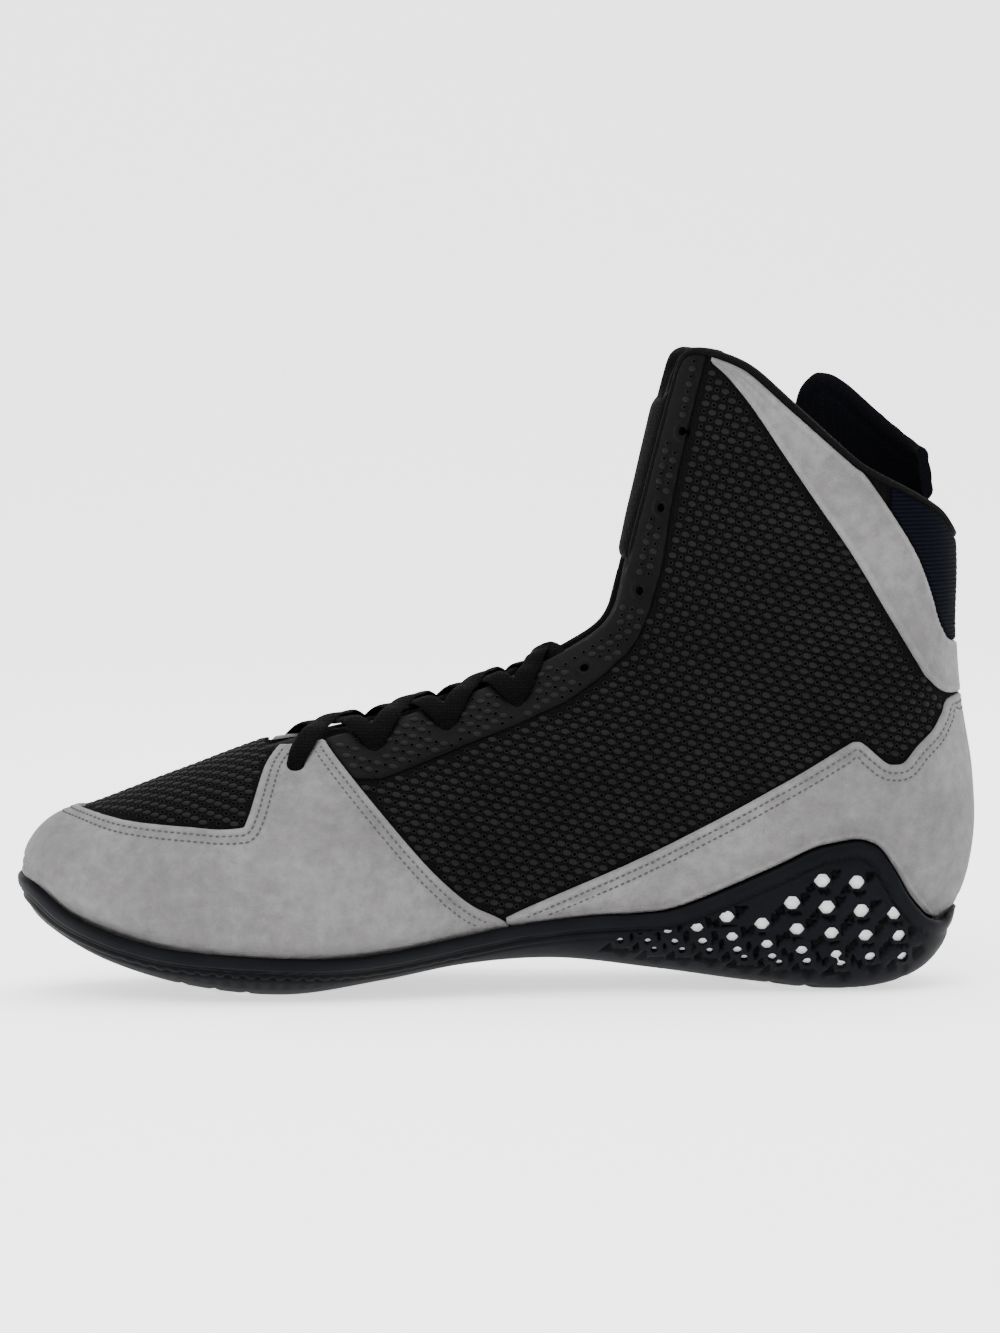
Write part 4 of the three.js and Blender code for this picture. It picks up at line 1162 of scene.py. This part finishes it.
def make_insole():
    s = stations(0.4, 13.6, 3.0)
    low, high = np.full(s.shape, math.pi - 1e-3), np.full(s.shape, math.pi / 2)
    rows = []
    for sign in (1, -1):
        a, b = low.copy(), high.copy()
        for _ in range(30):
            m = (a + b) / 2
            p = form_point(s, sign * m)
            under = side(UNDER_FLOOR, p) > 0
            a, b = np.where(under, m, a), np.where(under, b, m)
        rows.append(skin(s, sign * a, -WALL - 0.2))
    across = np.linspace(0, 1, 25)
    points = mix(rows[0][:, None, :], rows[1][:, None, :], across[None, :, None])
    points[..., 2] += 1.4 * (2 * across - 1)[None, :] ** 6 - 0.4
    n, m = points.shape[:2]
    index = np.arange(n * m).reshape(n, m)
    faces = np.stack([index[:-1, :-1], index[:-1, 1:], index[1:, 1:], index[1:, :-1]], -1).reshape(-1, 4)
    top = points.reshape(-1, 3)
    low = top - [0, 0, 3.0]
    ring = [*index[0], *index[1:, -1], *index[-1, -2::-1], *index[-2:0:-1, 0]]
    sides = [(b, a, a + n * m, b + n * m) for a, b in zip(ring, ring[1:] + ring[:1])]
    faces = [tuple(f[::-1]) for f in faces.tolist()] + [tuple(v + n * m for v in f) for f in faces.tolist()]
    faces += [tuple(int(v) for v in f) for f in sides]
    add_object("insole_cloth", np.vstack([top, low]), faces, "lining", "lining", ("insole",))


# Tongue, its pocket, the collar's flap and its binding
TONGUE_THICK, TONGUE_FROM = 3.0, 4.3
POCKET = (13.4, 18.9)


def make_tongue():
    s, turn = grid(TONGUE_FROM, LAST, 1.7, -1.3, 1.3)
    points = form_point(s, turn)
    middle = section(s)[..., 6]
    field = least(throat_row(s, 3) - np.abs(points[..., 1] - middle), side(UNDER_RIM, points) + GAP,
                  (s - TONGUE_FROM) * 20 + 0.5)
    sheet = Sheet(s, turn, even(field, points))
    edge = np.clip(sheet.edge / 3.0, 0, 1)
    top = -WALL - GAP - 0.9 * (1 - edge) ** 2
    sheet_piece("tongue_cloth", sheet, top, -WALL - GAP - TONGUE_THICK, "lining", "lining", ("tongue",),
                back=True)
    s, turn = grid(*POCKET, 1.2, -0.8, 0.8)
    points = form_point(s, turn)
    middle = section(s)[..., 6]
    field = least(throat_row(s, 1) - 1.2 - np.abs(points[..., 1] - middle), side(UNDER_RIM, points) - 1.0,
                  (s - POCKET[0]) * 5, (POCKET[1] - s) * 14)
    sheet = Sheet(s, turn, even(field, points))
    top = -WALL + 2.4 * (1 - (1 - np.clip(sheet.edge / 4.0, 0, 1)) ** 2) ** 0.5
    sheet_piece("pocket_cloth", sheet, top, -WALL, "mesh", "lining", ("lace_pocket",))


def make_flap():
    s, turn = grid(13.0, LAST, 1.3, -math.pi + 0.05, -0.4)
    inside = -WALL - OVERLAY - GAP
    points = skin(s, turn, inside)
    sheet = Sheet(s, turn, even(side(FLAP, points), points))
    half = 2.0 * np.sqrt(1 - (1 - np.clip(sheet.edge / 5.0, 0, 1)) ** 2)
    half -= 0.45 * soft(sheet.edge, 5.2, 0.8)
    middle = inside - 2.0
    flap = sheet_piece("collar_flap_pad", sheet, middle + half, middle - half, "pad", "lining",
                       ("collar_flap",), back=True)


def tube(path, up, across, wide, high, around=12):
    """Oval tube along points with its frames; wide and high may change along it."""
    n = len(path)
    angle = np.linspace(0, 2 * math.pi, around, endpoint=False)
    wide, high = np.broadcast_to(wide, n), np.broadcast_to(high, n)
    cosine, sine = np.cos(angle)[None, :, None], np.sin(angle)[None, :, None]
    sideways = across[:, None, :] * (cosine * wide[:, None, None] / 2)
    upward = up[:, None, :] * (sine * high[:, None, None] / 2)
    points = (path[:, None, :] + sideways + upward).reshape(-1, 3)
    faces = []
    for r in range(n - 1):
        for k in range(around):
            a, b = r * around + k, r * around + (k + 1) % around
            faces.append((a, a + around, b + around, b))
    faces.append(tuple(range(around)))
    faces.append(tuple(range(n * around - 1, (n - 1) * around - 1, -1)))
    return points, faces


def join(parts):
    points, faces, base = [], [], 0
    for p, f in parts:
        points.append(p)
        faces += [tuple(v + base for v in face) for face in f]
        base += len(p)
    return np.vstack(points), faces


ROLL_TURN = 2.72
ROLL_FROM = 13.5


def extended(line):
    """The rim's line run on at both ends down the front edges of the shaft."""
    for end in (0, 1):
        at, turn = line[-1]
        medial = turn < math.pi
        down = np.linspace(at - 0.15, ROLL_FROM, 40)
        away = throat_row(down, 1) - 0.4
        turns = turn_across(down, -away if medial else away) % (2 * math.pi)
        line = np.vstack([line, np.stack([down, turns], -1)])[::-1]
    return line


def make_binding():
    s, turn = grid(13.0, LAST, 1.6, 0.05, 2 * math.pi - 0.05)
    points = form_point(s, turn)
    middle = section(s)[..., 6]
    clear = np.where(np.cos(turn) > 0, np.abs(points[..., 1] - middle) - throat_row(s, 1) - GAP, 99.0)
    lines = contours(s, turn, side(UNDER_RIM, points) - 1.15, clear > 0)
    parts = []
    for line in lines:
        if len(line) < 20:
            continue
        line = extended(line)
        path = skin(line[:, 0], line[:, 1], -0.9)
        travelled = np.concatenate([[0], np.cumsum(np.linalg.norm(np.diff(path, axis=0), axis=1))])
        even_at = np.linspace(0, travelled[-1], int(travelled[-1] / 1.5))
        path = np.stack([np.interp(even_at, travelled, path[:, k]) for k in range(3)], -1)
        for _ in range(3):
            path[1:-1] = (path[:-2] + 2 * path[1:-1] + path[2:]) / 4
        out = normal(np.interp(even_at, travelled, line[:, 0]), np.interp(even_at, travelled, line[:, 1]))
        run = unit(np.gradient(path, axis=0))
        out = unit(out - run * (out * run).sum(-1, keepdims=True))
        front = np.abs(np.interp(even_at, travelled, line[:, 1]) - math.pi) > ROLL_TURN
        high = np.interp(even_at, [0, 4, travelled[-1] - 4, travelled[-1]], [0.4, 1, 1, 0.4])
        parts.append(tube(path, out, np.cross(run, out), np.where(front, 3.6, 2.6), 4.6 * high))
    add_object("collar_binding_cord", *join(parts), "lining", "lining", ("collar_binding",))


# Laces
LACED = np.array([(5.08, 0.262), (5.94, 0.238), (6.76, 0.213), (7.69, 0.194), (8.55, 0.076)])
LACE_WIDE, LACE_THICK = 6.8, 1.6


def make_laces():
    parts = []
    base = TOP + 0.25 + LACE_THICK / 2
    t = np.linspace(-0.05, 1.05, 40)
    for k in range(len(LACED) - 1):
        a, b = LACED[k], LACED[k + 1]
        last = k == len(LACED) - 2
        for sign in (1, -1):
            at = mix(a[0], b[0], np.clip(t, 0, 1))
            across = BALL_WIDTH * mix(-a[1], b[1], t) * sign
            turn = turn_across(at, across)
            over = 1.3 if sign > 0 else -0.3
            height = base + over * np.exp(-((t - 0.5) / 0.16) ** 2) - 1.9 * np.exp(-((t - 0.5) / 0.2) ** 4)
            dip = np.clip(1 - (t + 0.05) / 0.12, 0, 1) ** 2
            if not last:
                dip = dip + np.clip((t - 0.93) / 0.12, 0, 1) ** 2
            height = height - dip * 3.0
            if last:
                height = height - np.maximum(t - 0.7, 0) / 0.3 * (base + WALL - GAP - LACE_THICK / 2)
            path = skin(at, turn, height)
            up = normal(at, turn)
            run = unit(np.gradient(path, axis=0))
            up = unit(up - run * (up * run).sum(-1, keepdims=True))
            pinch = 1 - 0.35 * np.clip(1 - (t + 0.05) / 0.15, 0, 1) - 0.35 * np.clip((t - 0.9) / 0.15, 0, 1)
            thick = LACE_THICK * (1.8 - 0.8 * pinch)
            parts.append(tube(path, up, np.cross(run, up), LACE_WIDE * pinch, thick, 14))
    add_object("lace_cord", *join(parts), "lace", "lace", ("lace",))


make_upper()
make_panels()
make_band()
make_achilles()
make_stays()
make_beads()
make_outsole()
make_midsole()
make_insole()
make_tongue()
make_flap()
make_binding()
make_laces()


# Floor, light and camera
def make_floor():
    """White paper that lies flat under the shoe and rises in one curve far behind it, m."""
    half, near, far, radius, top = 6.0, -4.0, 1.6, 1.2, 4.0
    bend = np.linspace(0, math.pi / 2, 25)
    line = [(near, 0.0)] + [(far + radius * math.sin(a), radius * (1 - math.cos(a))) for a in bend]
    line.append((far + radius, top))
    points = [(x, y, z - 0.0003) for y, z in line for x in (-half, half)]
    faces = [(2 * k, 2 * k + 1, 2 * k + 3, 2 * k + 2) for k in range(len(line) - 1)]
    mesh = bpy.data.meshes.new("paper")
    mesh.from_pydata(points, [], faces)
    mesh.polygons.foreach_set("use_smooth", [True] * len(faces))
    paper = bpy.data.objects.new("paper", mesh)
    bpy.context.scene.collection.objects.link(paper)
    mesh.materials.append(material("paper", (0.9, 0.9, 0.905), 1.0, Specular_IOR_Level=0.0,
                                   Emission_Color=(1, 1, 1, 1), Emission_Strength=1.25))


def add_light(name, place, aim, size, power):
    data = bpy.data.lights.new(name, "AREA")
    data.shape, data.size, data.energy = "DISK", size, power
    light = bpy.data.objects.new(name, data)
    light.location = place
    light.rotation_euler = (Vector(aim) - Vector(place)).to_track_quat("-Z", "Y").to_euler()
    bpy.context.scene.collection.objects.link(light)


def make_world(level):
    world = bpy.data.worlds.new("studio")
    world.use_nodes = True
    back = world.node_tree.nodes["Background"]
    back.inputs["Color"].default_value = (1, 1, 1, 1)
    back.inputs["Strength"].default_value = level
    bpy.context.scene.world = world


VIEW_AZIMUTH, VIEW_ELEVATION, VIEW_DISTANCE, VIEW_LENS = math.radians(5.0), math.radians(3.5), 1700.0, 153.1
VIEW_TARGET = np.array([0.0, 0.0, 95.7])


def make_camera():
    back = np.array([-math.sin(VIEW_AZIMUTH) * math.cos(VIEW_ELEVATION),
                     -math.cos(VIEW_AZIMUTH) * math.cos(VIEW_ELEVATION), math.sin(VIEW_ELEVATION)])
    place = (VIEW_TARGET + SHIFT + back * VIEW_DISTANCE) * MM
    data = bpy.data.cameras.new("camera")
    data.lens, data.sensor_width, data.clip_start = VIEW_LENS, 36.0, 0.05
    camera = bpy.data.objects.new("camera", data)
    camera.location = place
    camera.rotation_euler = Vector(-back).to_track_quat("-Z", "Y").to_euler()
    bpy.context.scene.collection.objects.link(camera)
    bpy.context.scene.camera = camera


make_floor()
make_world(1.05)
add_light("key", (-0.5, -1.3, 1.5), (0, 0, 0.08), 1.4, 40)
add_light("top", (0.2, 0.2, 1.9), (0, 0, 0.05), 1.8, 34)
add_light("rear", (1.3, 0.9, 1.0), (0, 0, 0.08), 1.0, 12)
make_camera()
